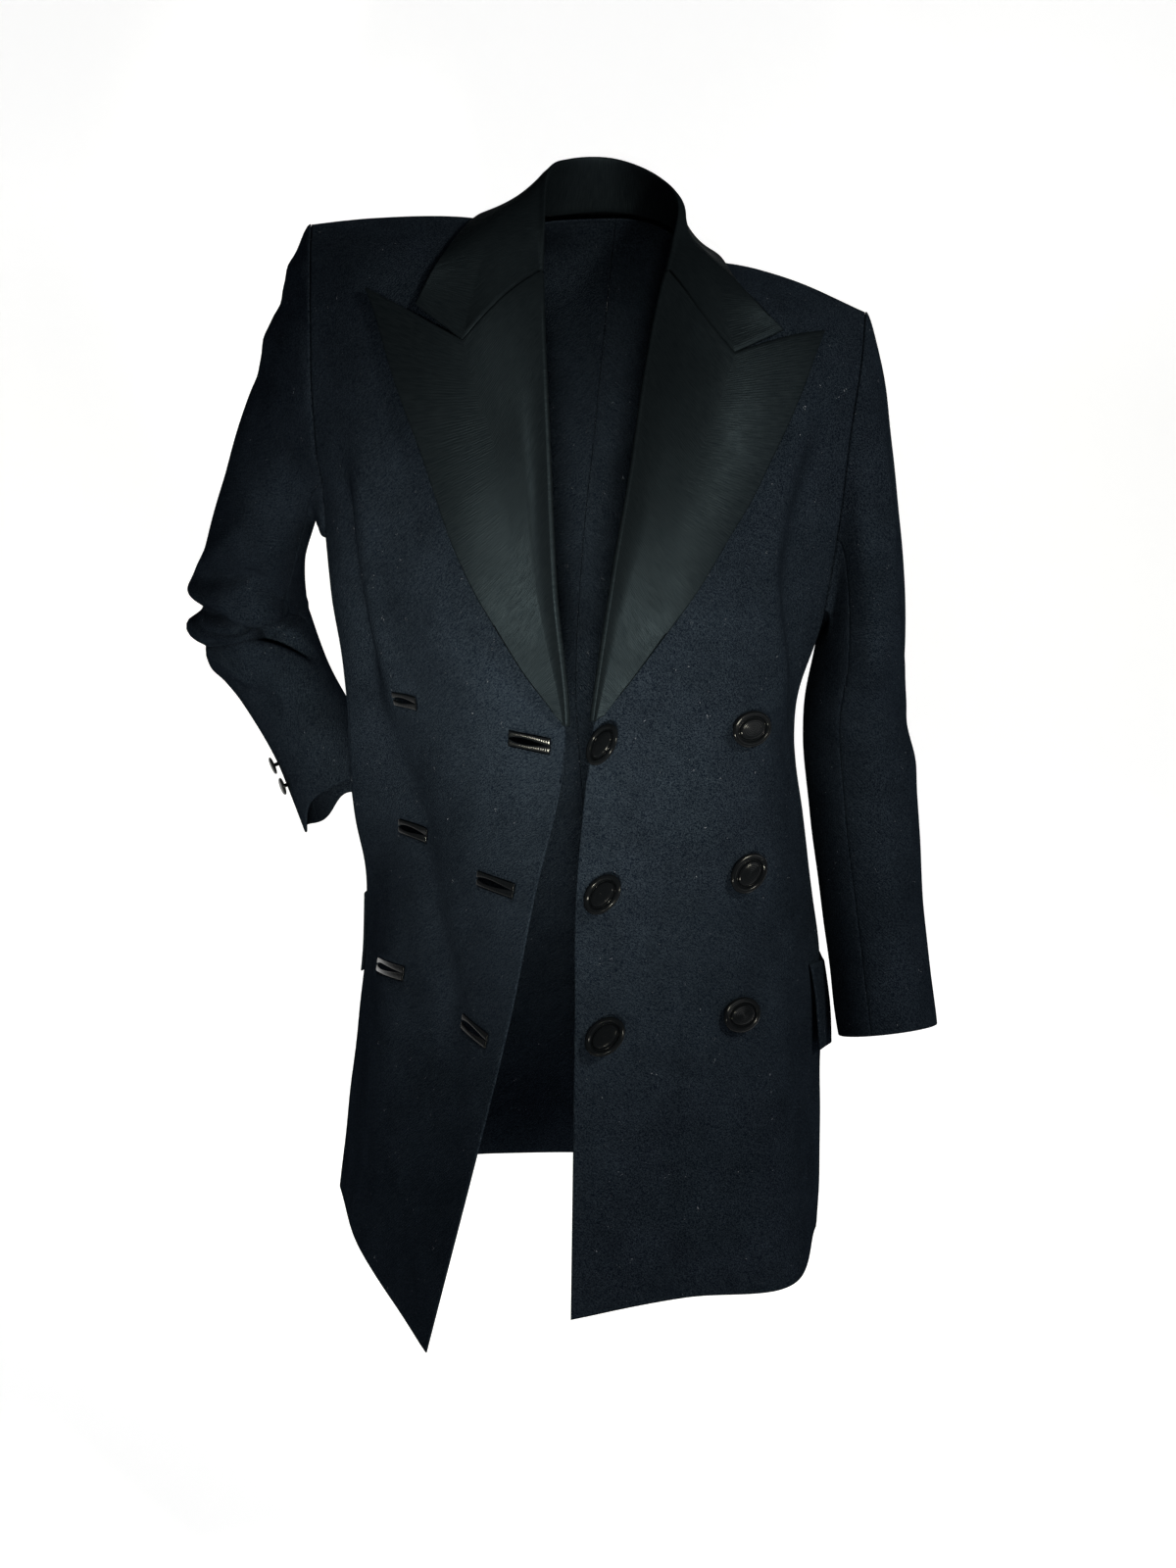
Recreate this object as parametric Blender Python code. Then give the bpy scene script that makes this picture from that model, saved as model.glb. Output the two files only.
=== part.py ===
"""Double-breasted tuxedo blazer, worn open, with one arm bent and one hanging.

Metres, +Z up, the front towards -Y and the wearer's left towards +X.  The origin
lies between the shoulders at the height of the neck, where the wearer carries it.
Every cloth piece is a wall: a grid of points on its outer face, and the same grid
moved in by the thickness of the cloth.
"""
from collections import namedtuple

import bmesh
import bpy
import numpy as np

CENTIMETRE = 0.01

# Cloth
WOOL_WALL = 0.0022
SLEEVE_WALL = 0.0020
SATIN_WALL = 0.0020
FLAP_WALL = 0.0025
SEAM_GAP = 0.0003
INSIDE_SETBACK = 0.0004

# Levels of the body block, from the hem up; the three button rows are levels too
HEM, THIRD_ROW, SECOND_ROW, FIRST_ROW, UNDERARM, CHEST, YOKE, GORGE, SHOULDER = range(9)

# Sections of the fronts in centimetres, a row for each level: the front edge (the
# roll line above the first button), the cloth half way, the fold where the front
# turns to the side, and the side seam (the armhole above the underarm)
FrontRow = namedtuple("FrontRow", "level edge inner fold outer")
RIGHT_FRONT = (
    FrontRow(HEM, (-12.8, -22.0, -83.7), (-15.3, -15.0, -83.1), (-19.0, -6.0, -81.4), (-21.5, 6.0, -80.2)),
    FrontRow(THIRD_ROW, (-6.9, -19.5, -60.7), (-10.7, -14.4, -59.3), (-16.0, -7.4, -57.6), (-18.7, 3.0, -57.0)),
    FrontRow(SECOND_ROW, (-4.6, -17.0, -49.9), (-9.2, -12.7, -48.3), (-13.8, -5.6, -47.0), (-19.1, 2.2, -46.7)),
    FrontRow(FIRST_ROW, (-2.1, -14.5, -38.4), (-8.5, -13.2, -37.2), (-14.2, -8.4, -35.8), (-18.9, -1.5, -36.0)),
    FrontRow(UNDERARM, (-3.0, -14.2, -26.1), (-10.0, -13.2, -26.0), (-17.2, -8.0, -25.2), (-20.6, -1.8, -23.3)),
    FrontRow(CHEST, (-3.5, -12.0, -15.4), (-10.0, -12.3, -15.7), (-17.0, -9.5, -16.0), (-21.4, -5.0, -16.2)),
    FrontRow(YOKE, (-3.9, -8.5, -7.5), (-10.0, -9.8, -7.5), (-16.5, -7.8, -7.5), (-21.8, -4.0, -7.6)),
    FrontRow(GORGE, (-4.1, -5.0, -3.2), (-10.0, -5.8, -2.6), (-16.5, -5.0, -2.2), (-21.9, -1.8, -2.6)),
    FrontRow(SHOULDER, (-4.7, 1.0, 0.1), (-10.5, 1.0, 0.9), (-16.5, 1.0, 0.7), (-21.9, 0.5, 0.2)),
)
LEFT_FRONT = (
    FrontRow(HEM, (-1.7, -19.5, -82.1), (7.0, -17.0, -81.3), (14.9, -13.6, -81.9), (18.7, -1.0, -81.2)),
    FrontRow(THIRD_ROW, (-1.4, -17.5, -60.2), (5.8, -15.5, -59.8), (13.4, -11.0, -59.6), (18.6, -1.5, -60.6)),
    FrontRow(SECOND_ROW, (-1.3, -15.5, -49.6), (5.8, -15.0, -48.8), (13.2, -11.8, -48.2), (17.2, -2.6, -49.4)),
    FrontRow(FIRST_ROW, (-0.2, -14.5, -38.0), (6.0, -14.2, -37.4), (12.8, -11.8, -37.2), (15.9, -3.5, -38.5)),
    FrontRow(UNDERARM, (1.5, -14.2, -26.1), (7.5, -14.0, -26.4), (13.8, -9.8, -27.0), (18.2, -2.8, -29.6)),
    FrontRow(CHEST, (3.0, -12.0, -17.6), (9.0, -12.3, -17.7), (15.3, -9.2, -17.8), (19.6, -5.0, -18.6)),
    FrontRow(YOKE, (4.2, -8.6, -10.0), (9.5, -9.6, -10.6), (15.0, -7.8, -11.4), (20.4, -4.0, -12.2)),
    FrontRow(GORGE, (5.7, -5.0, -3.4), (10.5, -5.6, -5.0), (15.5, -4.8, -6.8), (20.9, -2.1, -8.9)),
    FrontRow(SHOULDER, (7.5, 1.0, -2.4), (12.5, 1.0, -3.1), (17.0, 1.0, -4.6), (21.3, 0.5, -6.5)),
)

# The side panels' middle line, in centimetres; their edges are the neighbours' seams
SideRow = namedtuple("SideRow", "level right left")
SIDES = (
    SideRow(HEM, (-19.6, 9.3, -80.2), (18.2, 4.5, -81.0)),
    SideRow(THIRD_ROW, (-17.8, 6.6, -57.2), (18.0, 3.6, -60.5)),
    SideRow(SECOND_ROW, (-18.6, 5.4, -46.9), (16.9, 3.0, -49.2)),
    SideRow(FIRST_ROW, (-19.3, 2.6, -36.2), (15.8, 1.6, -38.4)),
    SideRow(UNDERARM, (-20.8, 2.4, -24.4), (18.2, 2.0, -30.9)),
)

# Sections of the back in centimetres, from the right side seam (the armhole above
# the underarm) over the shoulder blades to the left one
BackRow = namedtuple("BackRow", "level right_outer right_blade centre left_blade left_outer")
BACK = (
    BackRow(HEM, (-17.2, 11.8, -80.3), (-9.5, 15.0, -80.5), (-0.6, 16.0, -80.7), (8.3, 14.6, -80.8),
            (15.9, 9.5, -80.9)),
    BackRow(THIRD_ROW, (-15.6, 9.6, -57.6), (-8.6, 12.6, -58.4), (-0.2, 13.4, -59.2), (8.0, 12.4, -59.8),
            (15.6, 8.0, -60.3)),
    BackRow(SECOND_ROW, (-16.7, 8.3, -47.2), (-9.2, 10.8, -47.9), (-0.8, 11.2, -48.3), (7.4, 10.5, -48.7),
            (14.6, 7.2, -49.0)),
    BackRow(FIRST_ROW, (-17.6, 6.9, -36.4), (-9.6, 9.6, -36.9), (-1.4, 9.8, -37.4), (6.8, 9.3, -37.8),
            (14.0, 6.2, -38.2)),
    BackRow(UNDERARM, (-19.6, 6.6, -22.9), (-10.0, 11.4, -24.6), (-0.8, 11.9, -26.2), (8.4, 11.0, -27.8),
            (17.2, 6.5, -29.4)),
    BackRow(CHEST, (-21.3, 6.9, -15.0), (-10.5, 11.9, -15.6), (0.2, 12.2, -16.5), (10.2, 11.2, -18.0),
            (19.5, 6.4, -20.5)),
    BackRow(YOKE, (-21.9, 5.3, -7.0), (-10.6, 9.8, -7.6), (1.0, 10.6, -8.2), (11.6, 9.0, -9.8),
            (20.6, 5.0, -12.8)),
    BackRow(GORGE, (-22.0, 2.9, -2.4), (-10.6, 6.2, -2.4), (1.5, 8.9, -3.0), (12.0, 5.6, -5.0),
            (21.0, 2.8, -8.8)),
    BackRow(SHOULDER, (-21.9, 0.5, 0.2), (-10.6, 2.2, 0.6), (1.8, 7.0, 0.6), (12.6, 2.2, -2.4),
            (21.3, 0.5, -6.5)),
)

# Buttonholes and buttons, measured in from the front edge
HOLE_LENGTH = 3.8 * CENTIMETRE
HOLE_WIDTH = 1.0 * CENTIMETRE
SLIT_WIDTH = 0.28 * CENTIMETRE
LIP_HEIGHT = 0.0013
INNER_HOLE_END = 1.5 * CENTIMETRE
COLUMN_SPACING = 11.5 * CENTIMETRE
BUTTON_ROWS = (FIRST_ROW, SECOND_ROW, THIRD_ROW)
ROW_SPACING = 11.0 * CENTIMETRE

# Grid of the body block
LEVEL_STEPS_BELOW = (0.0, 0.35, 0.68)
LEVELS_ABOVE = (3.37, 3.68, 4.0, 4.5, 5.0, 5.5, 6.0, 6.5, 7.0, 7.5, 8.0)
FIELD_COLUMNS = 2
SIDE_COLUMNS = 3
SIDE_PANEL_CELLS = 4
NECK_CELLS = 3
SHOULDER_KNOTS = (0, 3, 5, 7, 9, 11)
DENSE = 97

# Sleeves in centimetres, a row for each ring from the upper arm to the cuff: its
# centre, half its width from the arm's inner to its outer side, half its depth, and
# how far the seams have turned round the arm, in degrees
SleeveRow = namedtuple("SleeveRow", "centre half_width half_depth turn")
RIGHT_SLEEVE = (
    SleeveRow((-26.2, 9.0, -21.6), 4.0, 7.8, 0),
    SleeveRow((-28.2, 13.2, -27.5), 4.2, 7.4, 8),
    SleeveRow((-28.9, 15.6, -32.9), 4.9, 6.8, 25),
    SleeveRow((-26.2, 14.3, -38.0), 4.1, 6.4, 45),
    SleeveRow((-23.2, 12.2, -42.8), 3.9, 6.0, 65),
    SleeveRow((-20.8, 10.0, -47.5), 4.2, 5.8, 80),
)
LEFT_SLEEVE = (
    SleeveRow((21.5, 2.6, -33.5), 3.6, 8.0, 0),
    SleeveRow((21.3, 3.0, -39.0), 4.2, 7.3, 0),
    SleeveRow((21.9, 2.0, -46.0), 4.4, 6.6, 0),
    SleeveRow((22.8, -0.2, -55.0), 4.1, 6.0, 0),
    SleeveRow((23.9, -2.2, -64.0), 4.0, 5.4, 0),
)
# Folds across a sleeve: where along its rows and round its ring they run, how far they
# reach, and how high they stand in centimetres, less than nothing for a crease
SleeveFold = namedtuple("SleeveFold", "place reach height facing spread")
RIGHT_FOLDS = (
    SleeveFold(1.80, 0.09, -0.7, 325, 75),
    SleeveFold(2.00, 0.08, 0.3, 325, 90),
    SleeveFold(2.16, 0.10, -0.9, 330, 80),
    SleeveFold(2.48, 0.12, 0.4, 320, 60),
)
LEFT_FOLDS = (
    SleeveFold(1.10, 0.20, -0.3, 300, 70),
    SleeveFold(1.60, 0.25, 0.3, 330, 70),
)
CAP_STEPS = (0.0, 0.1, 0.24, 0.42, 0.62, 0.82, 1.0)
RIGHT_RINGS = (0.35, 0.75, 1.1, 1.4, 1.64, 1.8, 1.9, 2.0, 2.16, 2.3, 2.48, 2.8, 3.2, 3.65, 4.1, 4.55, 5.0)
LEFT_RINGS = (0.35, 0.7, 1.1, 1.35, 1.6, 1.95, 2.3, 2.65, 3.0, 3.35, 3.7, 4.0)
Sleeve = namedtuple("Sleeve", "rows folds rings")
CAP_REACH = 2.8 * CENTIMETRE
BEND_SPREAD = 0.8
CAP_FALL = 0.9
FRONT_SEAM = 7
BACK_SEAM = 13

# Lapels: places on a front are its level and the share of its width from the edge;
# lifts are in centimetres above the cloth.  Outer edge from the break to the peak.
EdgeRow = namedtuple("EdgeRow", "place level share lift")
Lapel = namedtuple("Lapel", "gorge notch collar_tip outer_edge")
RIGHT_LAPEL = Lapel(
    gorge=(6.98, 0.0), notch=(5.90, 0.308, 0.70), collar_tip=(6.28, 0.483, 0.90),
    outer_edge=(
        EdgeRow(0.00, 3.20, 0.024, 0.50),
        EdgeRow(0.14, 3.46, 0.075, 0.90),
        EdgeRow(0.32, 3.88, 0.150, 1.20),
        EdgeRow(0.52, 4.40, 0.267, 1.10),
        EdgeRow(0.68, 4.88, 0.383, 0.90),
        EdgeRow(0.86, 5.72, 0.575, 0.80),
        EdgeRow(1.00, 6.50, 0.692, 0.70),
    ))
LEFT_LAPEL = Lapel(
    gorge=(7.02, 0.0), notch=(6.24, 0.350, 0.70), collar_tip=(6.63, 0.545, 1.00),
    outer_edge=(
        EdgeRow(0.00, 3.18, 0.030, 0.50),
        EdgeRow(0.14, 3.40, 0.125, 0.65),
        EdgeRow(0.32, 3.78, 0.250, 0.80),
        EdgeRow(0.52, 4.36, 0.390, 0.80),
        EdgeRow(0.68, 4.86, 0.530, 0.80),
        EdgeRow(0.86, 5.76, 0.685, 0.80),
        EdgeRow(1.00, 6.90, 0.758, 0.70),
    ))
BREAK_LEVEL = 3.15
LAPEL_STEPS = (0.0, 0.09, 0.19, 0.3, 0.42, 0.54, 0.66, 0.78, 0.89, 1.0)
FALL_STEPS = (0.0, 0.13, 0.26, 0.38, 0.5, 0.67, 0.83, 1.0)
NOTCH_STEP = 4
LAPEL_ROLL_SHARE = 0.3
LIP_CLEARANCE = 0.0012
LIP_DEPTH = 0.0040
CLOTH_CLEARANCE = 0.0012

# Collar in centimetres, a row for each station from the right front round the back to
# the left: its neck seam, the top of its roll and its outer edge
CollarRow = namedtuple("CollarRow", "seam roll outer swell")
COLLAR = (
    CollarRow((-3.9, -2.7, -1.2), (-3.7, -3.0, 0.0), (-11.5, -6.9, -2.0), 0.4),
    CollarRow((-4.5, 1.0, 0.5), (-3.4, 1.0, 4.0), (-8.6, 1.2, 1.1), -0.3),
    CollarRow((-2.7, 5.1, 0.7), (-1.7, 4.6, 4.9), (-4.5, 7.4, 0.2), 0.2),
    CollarRow((1.7, 6.9, 0.9), (1.7, 6.2, 4.9), (1.8, 9.3, -1.0), 0.3),
    CollarRow((5.8, 5.1, 0.0), (4.9, 4.6, 3.7), (7.6, 7.2, -1.5), 0.1),
    CollarRow((7.0, 1.0, -1.9), (6.5, 1.0, 1.8), (9.8, 1.2, -2.1), -0.9),
    CollarRow((5.7, -2.7, -2.8), (6.0, -3.0, -1.1), (11.1, -6.2, -4.0), 0.2),
)
COLLAR_ROWS = 23
ROLL_RADIUS = 0.0030

# Pocket flaps: their ends as distances from the side seam, their levels, and how far
# the lower front corner stands off
Flap = namedtuple("Flap", "front back bottom top stand_off")
RIGHT_FLAP = Flap(0.5 * CENTIMETRE, 15.0 * CENTIMETRE, 0.80, 1.22, 0.0010)
LEFT_FLAP = Flap(-3.0 * CENTIMETRE, 11.5 * CENTIMETRE, 0.74, 1.16, 0.0060)
FLAP_END_ROOM = 0.6 * CENTIMETRE
FLAP_SEAT = 0.0008

# Front buttons: level, distance from the edge in centimetres, and in degrees how far
# the long axis turns up and how far the head leans about it
ButtonSeat = namedtuple("ButtonSeat", "level distance turn lean")
FRONT_BUTTONS = (
    ButtonSeat(FIRST_ROW, 2.1, 52, 50), ButtonSeat(SECOND_ROW, 2.1, 42, 34), ButtonSeat(THIRD_ROW, 2.2, 38, 34),
    ButtonSeat(FIRST_ROW, 13.4, 14, 8), ButtonSeat(SECOND_ROW, 13.4, 38, 10), ButtonSeat(THIRD_ROW, 13.5, 6, 8),
)
EDGE_ROLL = 1.1 * CENTIMETRE

# Turned profiles of the covered buttons in millimetres: half length, half width, and
# height above the head's underside
ButtonRing = namedtuple("ButtonRing", "half_length half_width height")
OVAL_HEAD = (
    ButtonRing(3.0, 3.0, 0.0), ButtonRing(13.0, 9.6, 0.3), ButtonRing(17.0, 13.4, 2.2),
    ButtonRing(15.4, 11.8, 4.2), ButtonRing(12.4, 8.9, 2.9), ButtonRing(10.6, 7.2, 4.0),
    ButtonRing(5.6, 3.8, 4.9),
)
CUFF_HEAD = (
    ButtonRing(1.6, 1.6, 0.0), ButtonRing(7.4, 7.4, 0.9), ButtonRing(6.6, 6.6, 2.6), ButtonRing(3.4, 3.4, 3.3),
)
OVAL_SIDES = 16
CUFF_SIDES = 12
SHANK_HEIGHT = 4.0
CUFF_SHANK_HEIGHT = 5.0
HEAD_CLEARANCE = 0.0012
CUFF_BUTTON_DISTANCES = (3.9 * CENTIMETRE, 6.1 * CENTIMETRE)

WOOL = dict(colour=(0.010, 0.010, 0.013), roughness=0.85, metallic=0.0)
SATIN = dict(colour=(0.008, 0.008, 0.009), roughness=0.42, metallic=0.0)


def clear_scene():
    for item in list(bpy.data.objects):
        bpy.data.objects.remove(item, do_unlink=True)


def make_material(name, colour, roughness, metallic):
    material = bpy.data.materials.new(name)
    material.use_nodes = True
    shader = material.node_tree.nodes["Principled BSDF"]
    shader.inputs["Base Color"].default_value = (*colour, 1.0)
    shader.inputs["Roughness"].default_value = roughness
    shader.inputs["Metallic"].default_value = metallic
    return material


# Curves and grids
def unit(vectors):
    return vectors / np.linalg.norm(vectors, axis=-1, keepdims=True)


def running_length(curve):
    steps = np.linalg.norm(np.diff(curve, axis=0), axis=1)
    return np.concatenate(([0.0], np.cumsum(steps)))


def glide(knots, values, at):
    """Cubic curve through the values at rising knots, its slopes taken from the neighbours."""
    knots = np.asarray(knots, float)
    values = np.asarray(values, float)
    slopes = np.gradient(values, knots, axis=0)
    at = np.clip(np.asarray(at, float), knots[0], knots[-1])
    cell = np.clip(np.searchsorted(knots, at, side="right") - 1, 0, len(knots) - 2)
    span = (knots[cell + 1] - knots[cell]).reshape(at.shape + (1,) * (values.ndim - 1))
    share = ((at - knots[cell]).reshape(span.shape)) / span
    rise = share * share * (3 - 2 * share)
    leave = share * (1 - share) ** 2 * span
    arrive = share * share * (share - 1) * span
    return (values[cell] * (1 - rise) + values[cell + 1] * rise
            + slopes[cell] * leave + slopes[cell + 1] * arrive)


def table_points(table, names, level):
    """The named stations of a table at one level, in metres."""
    knots = [row.level for row in table]
    values = np.array([[getattr(row, name) for name in names] for row in table]) * CENTIMETRE
    return glide(knots, values, np.array([level]))[0]


def section(stations):
    """Dense smooth curve through one level's stations, with its running length."""
    knots = running_length(stations)
    curve = glide(knots, stations, np.linspace(0.0, knots[-1], DENSE))
    return curve, running_length(curve)


def at_distance(curve, length, distance):
    return np.stack([np.interp(distance, length, curve[:, axis]) for axis in range(3)], axis=-1)


def ease(value):
    """Rises smoothly from 0 to 1."""
    value = np.clip(value, 0.0, 1.0)
    return value * value * (3 - 2 * value)


def grid_normals(points, hollow):
    """Normals of a grid, turned away from the hollow's centre line."""
    across = np.gradient(points, axis=1)
    upward = np.gradient(points, axis=0)
    normals = unit(np.cross(across, upward))
    facing = np.sum(normals * (points - hollow), axis=-1).mean()
    return normals if facing > 0 else -normals


# Body block
def level_rows():
    """Levels of the grid's rows, with a pair of rows at each buttonhole."""
    half_hole = 0.5 * HOLE_WIDTH / ROW_SPACING
    rows = []
    for level in (HEM, THIRD_ROW, SECOND_ROW):
        start = 0.0 if level == HEM else half_hole
        for step in LEVEL_STEPS_BELOW:
            rows.append(level + max(step, start))
        rows.append(level + 1 - half_hole)
    rows.append(FIRST_ROW + half_hole)
    rows.extend(LEVELS_ABOVE)
    return np.array(rows)


def column_marks():
    """Distances of the front's columns from the edge, up to the outer buttonhole."""
    inner = INNER_HOLE_END + HOLE_LENGTH * np.array([0.0, 0.5, 1.0])
    outer = inner + COLUMN_SPACING
    field = np.linspace(inner[-1], outer[0], FIELD_COLUMNS + 2)[1:-1]
    return np.concatenate(([0.0], inner, field, outer))


def front_stations(table, level):
    return table_points(table, ("edge", "inner", "fold", "outer"), level)


def front_distances(table, level, length):
    """Column distances: from the edge below the first button, shares of the width above it."""
    marks = column_marks()
    marks[1:] -= EDGE_ROLL * ease(level - SECOND_ROW)
    if level > FIRST_ROW:
        marks = marks * length / section(front_stations(table, FIRST_ROW))[1][-1]
    side = np.linspace(marks[-1], length, SIDE_COLUMNS + 1)[1:]
    return np.concatenate((marks, side))


def front_grid(table, rows):
    grid = []
    for level in rows:
        curve, length = section(front_stations(table, level))
        grid.append(at_distance(curve, length, front_distances(table, level, length[-1])))
    grid = np.array(grid)
    straighten_shoulder(grid[-1])
    return grid


def straighten_shoulder(row):
    """Run the shoulder seam straight between the points that the back shares."""
    for start, end in zip(SHOULDER_KNOTS[:-1], SHOULDER_KNOTS[1:]):
        for column in range(start + 1, end):
            share = (column - start) / (end - start)
            row[column] = row[start] * (1 - share) + row[end] * share


def back_half_stations(side, level):
    names = ("right_outer", "right_blade", "centre", "left_blade", "left_outer")
    stations = table_points(BACK, names, level)
    return stations if side > 0 else stations[::-1]


def back_shares(front_top):
    """Column shares of a back half: the neck's cells, then the shoulder's."""
    seam = running_length(front_top[list(SHOULDER_KNOTS)])
    neck_share = NECK_CELLS / (NECK_CELLS + len(SHOULDER_KNOTS) - 1)
    neck = np.linspace(0.0, neck_share, NECK_CELLS + 1)[:-1]
    return np.concatenate((neck, neck_share + (1 - neck_share) * seam / seam[-1]))


def neckline(side, neck_point, count):
    """Quarter oval from the centre back to the neck end of the shoulder seam."""
    centre = np.array(BACK[-1].centre) * CENTIMETRE
    angle = np.linspace(0.0, np.pi / 2, count + 1)[:-1]
    reach = neck_point - centre
    return np.stack((centre[0] + reach[0] * np.sin(angle),
                     neck_point[1] - reach[1] * np.cos(angle),
                     centre[2] + reach[2] * (1 - np.cos(angle))), axis=-1)


def back_grid(side, rows, front_top):
    """A back half from the centre seam out; its top row is the neckline and the shoulder seam."""
    shares = back_shares(front_top)
    grid = []
    for level in rows:
        curve, length = section(back_half_stations(side, level))
        middle = length[np.argmin(np.abs(curve - curve_centre(level)).sum(axis=1))]
        grid.append(at_distance(curve, length, middle + (length[-1] - middle) * shares))
    grid = np.array(grid)
    top = np.concatenate((neckline(side, front_top[0], NECK_CELLS), front_top[list(SHOULDER_KNOTS)]))
    lift = ease((rows - GORGE) / (SHOULDER - GORGE))
    return grid + lift[:, None, None] * (top - grid[-1])


def curve_centre(level):
    return table_points(BACK, ("centre",), level)[0]


def side_grid(side, rows, front, back):
    """A side panel between the front's and the back's seams."""
    name = "right" if side < 0 else "left"
    grid = []
    for index, level in enumerate(rows):
        middle = table_points(SIDES, (name,), level)[0]
        stations = np.array([front[index, -1], middle, back[index, -1]])
        curve, length = section(stations)
        grid.append(at_distance(curve, length, np.linspace(0, length[-1], SIDE_PANEL_CELLS + 1)))
    return np.array(grid)


# Sleeves
def armhole(front, side, back, first):
    """Ring of points from the shoulder tip down the front, under the arm and up the back."""
    return np.concatenate((front[first:, -1][::-1], side[-1, 1:-1], back[first:-1, -1]))


def fold_heights(folds, place, angle):
    """How far the folds move each point of a ring out from the plain oval."""
    height = np.zeros(len(angle))
    for fold in folds:
        away = (np.degrees(angle) - fold.facing + 180.0) % 360.0 - 180.0
        height += (fold.height * CENTIMETRE * np.exp(-((place - fold.place) / fold.reach) ** 2)
                   * np.exp(-(away / fold.spread) ** 2))
    return height


def sleeve_ring(side, sleeve, place, angle):
    """One ring of the sleeve, as an oval across the arm's path with its folds."""
    row_table = sleeve.rows
    knots = np.arange(len(row_table))
    centres = np.array([row.centre for row in row_table]) * CENTIMETRE
    sizes = np.array([(row.half_width, row.half_depth) for row in row_table]) * CENTIMETRE
    turns = np.radians([row.turn for row in row_table])
    centre = glide(knots, centres, np.array([place]))[0]
    half_width, half_depth = glide(knots, sizes, np.array([place]))[0]
    angle = angle + np.interp(place, knots, turns)
    ends = glide(knots, centres, np.array([place - BEND_SPREAD, place + BEND_SPREAD]))
    path = unit(ends[1] - ends[0])
    outer = np.array([float(side), 0.0, 0.0])
    outer = unit(outer - path * np.dot(outer, path))
    front = np.cross(path, outer) * side
    spoke = (half_width * np.cos(angle)[:, None] * outer
             + half_depth * np.sin(angle)[:, None] * front)
    height = fold_heights(sleeve.folds, place, angle)[:, None]
    return centre + spoke + unit(spoke) * height, path


def sleeve_grid(side, sleeve, ring):
    """Rows of rings from the armhole to the cuff."""
    closed = np.concatenate((ring, ring[:1]))
    share = running_length(closed)[:-1] / running_length(closed)[-1]
    angle = 2 * np.pi * share
    first, path = sleeve_ring(side, sleeve, 0.0, angle)
    rows = []
    outward = np.array([float(side), 0.0, 0.0]) * CAP_REACH
    reach = np.linalg.norm(first - ring, axis=1)[:, None] * CAP_FALL * path
    for step in CAP_STEPS:
        rise = step * step * (3 - 2 * step)
        rows.append(ring * (1 - rise) + first * rise
                    + outward * step * (1 - step) ** 2 + reach * step * step * (step - 1))
    for place in sleeve.rings:
        rows.append(sleeve_ring(side, sleeve, place, angle)[0])
    return np.array(rows)


def sleeve_normals(grid):
    wrapped = np.concatenate((grid[:, -1:], grid, grid[:, :1]), axis=1)
    hollow = grid.mean(axis=1, keepdims=True)
    return grid_normals(wrapped, hollow)[:, 1:-1]


# Walls
def pull_in(points, edge, distance):
    """Move one edge of a grid towards the grid's inside."""
    rim, next_in = {"bottom": (points[0], points[1]), "top": (points[-1], points[-2]),
                    "start": (points[:, 0], points[:, 1]), "end": (points[:, -1], points[:, -2])}[edge]
    rim += unit(next_in - rim) * distance


def build_wall(name, points, normals, thickness, material, seams=(), absent=()):
    """A closed wall: the outer grid, the inner grid and the rims between them."""
    outer = points.copy()
    for edge in seams:
        pull_in(outer, edge, SEAM_GAP / 2)
    inner = outer - normals * thickness
    for edge in seams:
        pull_in(inner, edge, INSIDE_SETBACK)
    rows, columns = outer.shape[:2]
    present = np.ones((rows - 1, columns - 1), bool)
    for cell in absent:
        present[cell] = False
    mesh = bmesh.new()
    layers = []
    for layer in (outer, inner):
        layers.append([[mesh.verts.new(point) for point in row] for row in layer])
    for row, column in np.argwhere(present):
        add_cell(mesh, layers, present, row, column)
    loose = [vertex for vertex in mesh.verts if not vertex.link_faces]
    bmesh.ops.delete(mesh, geom=loose, context="VERTS")
    return finish_mesh(name, mesh, material)


def add_cell(mesh, layers, present, row, column):
    corners = ((row, column), (row, column + 1), (row + 1, column + 1), (row + 1, column))
    beyond = ((row - 1, column), (row, column + 1), (row + 1, column), (row, column - 1))
    for layer in layers:
        mesh.faces.new([layer[i][j] for i, j in corners])
    for index, cell in enumerate(beyond):
        inside = all(0 <= place < limit for place, limit in zip(cell, present.shape))
        if inside and present[cell]:
            continue
        near, far = corners[index], corners[(index + 1) % 4]
        mesh.faces.new([layers[0][near[0]][near[1]], layers[0][far[0]][far[1]],
                        layers[1][far[0]][far[1]], layers[1][near[0]][near[1]]])


def finish_mesh(name, mesh, material):
    bmesh.ops.recalc_face_normals(mesh, faces=mesh.faces)
    data = bpy.data.meshes.new(name)
    mesh.to_mesh(data)
    mesh.free()
    data.materials.append(material)
    data.shade_smooth()
    data.set_sharp_from_angle(angle=np.radians(40.0))
    item = bpy.data.objects.new(name, data)
    bpy.context.scene.collection.objects.link(item)
    return item


def loft(name, loops, material, closed=False):
    """A solid through loops of points: capped at its ends, or closed into a ring."""
    mesh = bmesh.new()
    rings = [[mesh.verts.new(point) for point in loop] for loop in loops]
    pairs = list(zip(rings, rings[1:]))
    if closed:
        pairs.append((rings[-1], rings[0]))
    else:
        mesh.faces.new(rings[0])
        mesh.faces.new(rings[-1])
    for first, second in pairs:
        for index in range(len(first)):
            after = (index + 1) % len(first)
            mesh.faces.new((first[index], first[after], second[after], second[index]))
    return finish_mesh(name, mesh, material)


def mitre(first, first_place, second, second_place):
    """Give two pieces the same normals along the seam that they share."""
    mean = unit(first[first_place] + second[second_place])
    first[first_place] = mean
    second[second_place] = mean


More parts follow.
